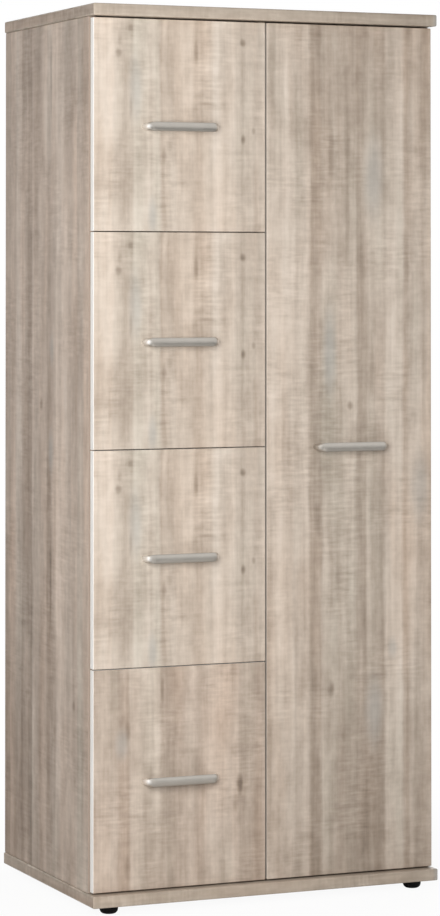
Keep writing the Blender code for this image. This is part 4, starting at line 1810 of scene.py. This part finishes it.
    def _link(self, centre: Point, arm_front: float) -> None:
        """The link from the cup's hollow to the arm: a rounded bar along Y.

        Args:
            centre: Middle of the cup's mouth.
            arm_front: The Y of the arm's front end.
        """
        start, end = centre[1] - self.link_sink, arm_front + self.link_overlap
        middle = (centre[2], centre[0])
        rings = [
            ring(self.link_half_height, self.link_half_width, along, 1, self.link_power, middle)
            for along in np.linspace(start, end, self.link_stations)
        ]
        bar, steel = swept(np.array(rings)), [self.finishes.hinge]
        link = self.shop.piece(f"hinge_{self.number}_link", bar, "", "hinge_steel", steel)
        start + 0.0015
        end - 0.0025
        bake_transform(link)


@dataclass
class Door(SubAssembly):
    """The tall door with its handle, and the hinges that it hangs on."""

    edge_round: float = 0.0015
    bore_radius: float = 0.0178
    bore_depth: float = 0.0118
    hinge_count: int = 4

    def build(self) -> None:
        """Make the panel with its bores, then the handle and hinges."""
        hinges = [Hinge(self.shop, self.finishes, number) for number in range(1, self.hinge_count + 1)]
        bores = ([hinge.mouth() for hinge in hinges], self.bore_radius, self.bore_depth)
        materials = [self.finishes.door, self.finishes.door_band_painted_shade]
        self.shop.board("door_front_panel", "door", "door_panel", materials, self.edge_round, EDGES, bores)
        # The door's handle gets no painted highlight on its bends.
        BowHandle(self.shop, self.finishes, painted_highlight=0.0).fit("door", "door_panel")
        for hinge in hinges:
            hinge.build()


@dataclass
class Drawer(SubAssembly):
    """One deep drawer: front with handle, and its painted box."""

    number: int
    edge_round: float = 0.0015

    def build(self) -> None:
        """Make the front and handle, and paint the box."""
        shop, finishes, name = self.shop, self.finishes, f"drawer_{self.number}"
        materials = [finishes.drawers[self.number], finishes.band]
        shop.board(f"{name}_panel", name, f"{name}_front", materials, self.edge_round, EDGES)
        BowHandle(shop, finishes).fit(name, f"{name}_front")
        shop.paint(finishes.inner[Grain.DEPTHWISE], f"{name}_side_left", f"{name}_side_right")
        shop.paint(finishes.inner[Grain.LENGTHWISE], f"{name}_back")
        shop.paint(finishes.bottom, f"{name}_bottom")


@dataclass(frozen=True)
class Lamp:
    """A rectangular area lamp.

    It has a place and a target, a width and height in metres, a power in watts and a linear colour. It may be
    unseen by matt surfaces, so that it only makes highlights, or unseen by glossy ones.
    """

    name: str
    place: Point
    target: Point
    size: tuple[float, float]
    power: float
    colour: Point = (1.0, 0.99, 0.98)
    on_matt: bool = True
    on_gloss: bool = True

    def hang(self) -> None:
        """Add the lamp to the scene."""
        lamp = bpy.data.lights.new(self.name, "AREA")
        lamp.shape = "RECTANGLE"
        lamp.size, lamp.size_y = self.size
        lamp.energy, lamp.color = self.power, self.colour
        obj = bpy.data.objects.new(self.name, lamp)
        obj.location = self.place
        obj.rotation_euler = (Vector(self.target) - Vector(self.place)).to_track_quat("-Z", "Y").to_euler()
        obj.visible_diffuse, obj.visible_glossy = self.on_matt, self.on_gloss
        bpy.context.scene.collection.objects.link(obj)


@dataclass
class Studio:
    """Pale floor, soft lamps, white surroundings and the photograph's camera.

    Lengths are in metres, but for the lens and the sensor, which are in millimetres. The angles are in degrees.
    """

    lens: float = 124.40
    sensor: float = 36.0
    position: Point = (-2.7543, -6.4201, 1.3304)
    pitch: float = 0.993
    yaw: float = 23.245
    shift_up: float = -0.2598
    clip: tuple[float, float] = (0.1, 100.0)
    ambient: float = 0.26
    floor_size: float = 14.0
    floor_points: int = 64
    floor_glow: float = 0.94
    floor_fade: tuple[float, float] = (0.45, 1.6)
    floor_colours: tuple[Colour, Colour] = ((243, 243, 242), (248, 248, 248))
    lamps: tuple[Lamp, ...] = (
        Lamp("key", (-1.7, -2.65, 1.6), (-0.4, -0.25, 1.5), (1.6, 1.6), 82.0, on_gloss=False),
        Lamp("glint", (-2.8, -0.55, 1.1), (-0.2, -0.28, 1.0), (0.8, 2.2), 7.0, (1.0, 1.0, 1.0), on_matt=False),
        Lamp("rear", (2.6, 3.4, 2.4), (0.0, 0.28, 1.0), (2.0, 2.0), 55.0),
    )

    WHITE = (1.0, 1.0, 1.0, 1.0)
    CLOUDS = Layer(3, 3, 3, weight=0.6)

    def build(self) -> None:
        """Set up everything round the object."""
        bpy.context.scene.view_settings.view_transform = "Standard"
        self._world()
        self._floor()
        for lamp in self.lamps:
            lamp.hang()
        self._camera()

    def _world(self) -> None:
        """White to the camera and in reflections, and a dimmer white as light."""
        world = bpy.data.worlds.new("surroundings")
        bpy.context.scene.world = world
        world.use_nodes = True
        tree = Nodes(world.node_tree)
        camera = tree.node("ShaderNodeLightPath", {}, {}, "Is Camera Ray")
        seen = camera.math("MAXIMUM", camera.beside("Is Transmission Ray"))
        seen = seen.math("MAXIMUM", camera.beside("Is Glossy Ray"))
        level = tree.node("ShaderNodeMapRange", {}, {"Value": seen, "To Min": self.ambient, "To Max": 1.0})
        sky = tree.nodes["Background"]
        sky.inputs["Color"].default_value = self.WHITE
        tree.links.new(level.socket, sky.inputs["Strength"])

    def _floor(self) -> None:
        """A pale disc that turns to plain white away from the object, so that it has no visible rim."""
        turn = np.arange(self.floor_points) * 2 * math.pi / self.floor_points
        rim = np.stack([np.cos(turn), np.sin(turn), np.zeros(self.floor_points)], -1) * self.floor_size
        mesh = bpy.data.meshes.new("floor")
        mesh.from_pydata(rim.tolist(), [], [list(range(self.floor_points))])
        floor = bpy.data.objects.new("floor", mesh)
        bpy.context.scene.collection.objects.link(floor)
        tree = Tree("floor_paint", roughness=0.9)
        point = tree.place()
        clouds = self.CLOUDS.read(point, Grain.FRONT) * self.CLOUDS.weight + 0.5
        tree.wear(tree.mix(clouds, *(linear(colour) for colour in self.floor_colours)))
        glow = tree.node("ShaderNodeEmission", {}, {"Color": self.WHITE, "Strength": 1.0})
        seen = tree.node("ShaderNodeLightPath", {}, {}, "Is Camera Ray")
        distance = tree.vector("LENGTH", point, output="Value").step(*self.floor_fade)
        share = (distance * (1.0 - self.floor_glow) + self.floor_glow) * seen
        both = tree.node("ShaderNodeMixShader", {}, {0: share, 1: Wire(tree, tree.shader.outputs[0]), 2: glow})
        tree.links.new(both.socket, tree.nodes["Material Output"].inputs["Surface"])
        mesh.materials.append(tree.material)

    def _camera(self) -> None:
        """The camera at the photograph's place, with the long side of the frame as its sensor."""
        data = bpy.data.cameras.new("photo_camera")
        data.lens, data.sensor_width, data.sensor_fit = self.lens, self.sensor, "AUTO"
        data.shift_y = self.shift_up
        data.clip_start, data.clip_end = self.clip
        camera = bpy.data.objects.new("photo_camera", data)
        camera.location = self.position
        camera.rotation_euler = (math.radians(90 + self.pitch), 0.0, math.radians(-self.yaw))
        bpy.context.scene.collection.objects.link(camera)
        bpy.context.scene.camera = camera


def main() -> None:
    """Build the studio and the sub-assemblies in order, and report them."""
    logging.basicConfig(level=logging.INFO, format="%(name)s %(message)s")
    Studio().build()
    shop, finishes = Workshop(), Finishes()
    Carcass(shop, finishes).build()
    HangingSpace(shop, finishes).build()
    for number in DRAWER_NUMBERS:
        Drawer(shop, finishes, number).build()
    Door(shop, finishes).build()
    log.info("%d pieces made", shop.made)


if __name__ == "__main__":
    main()
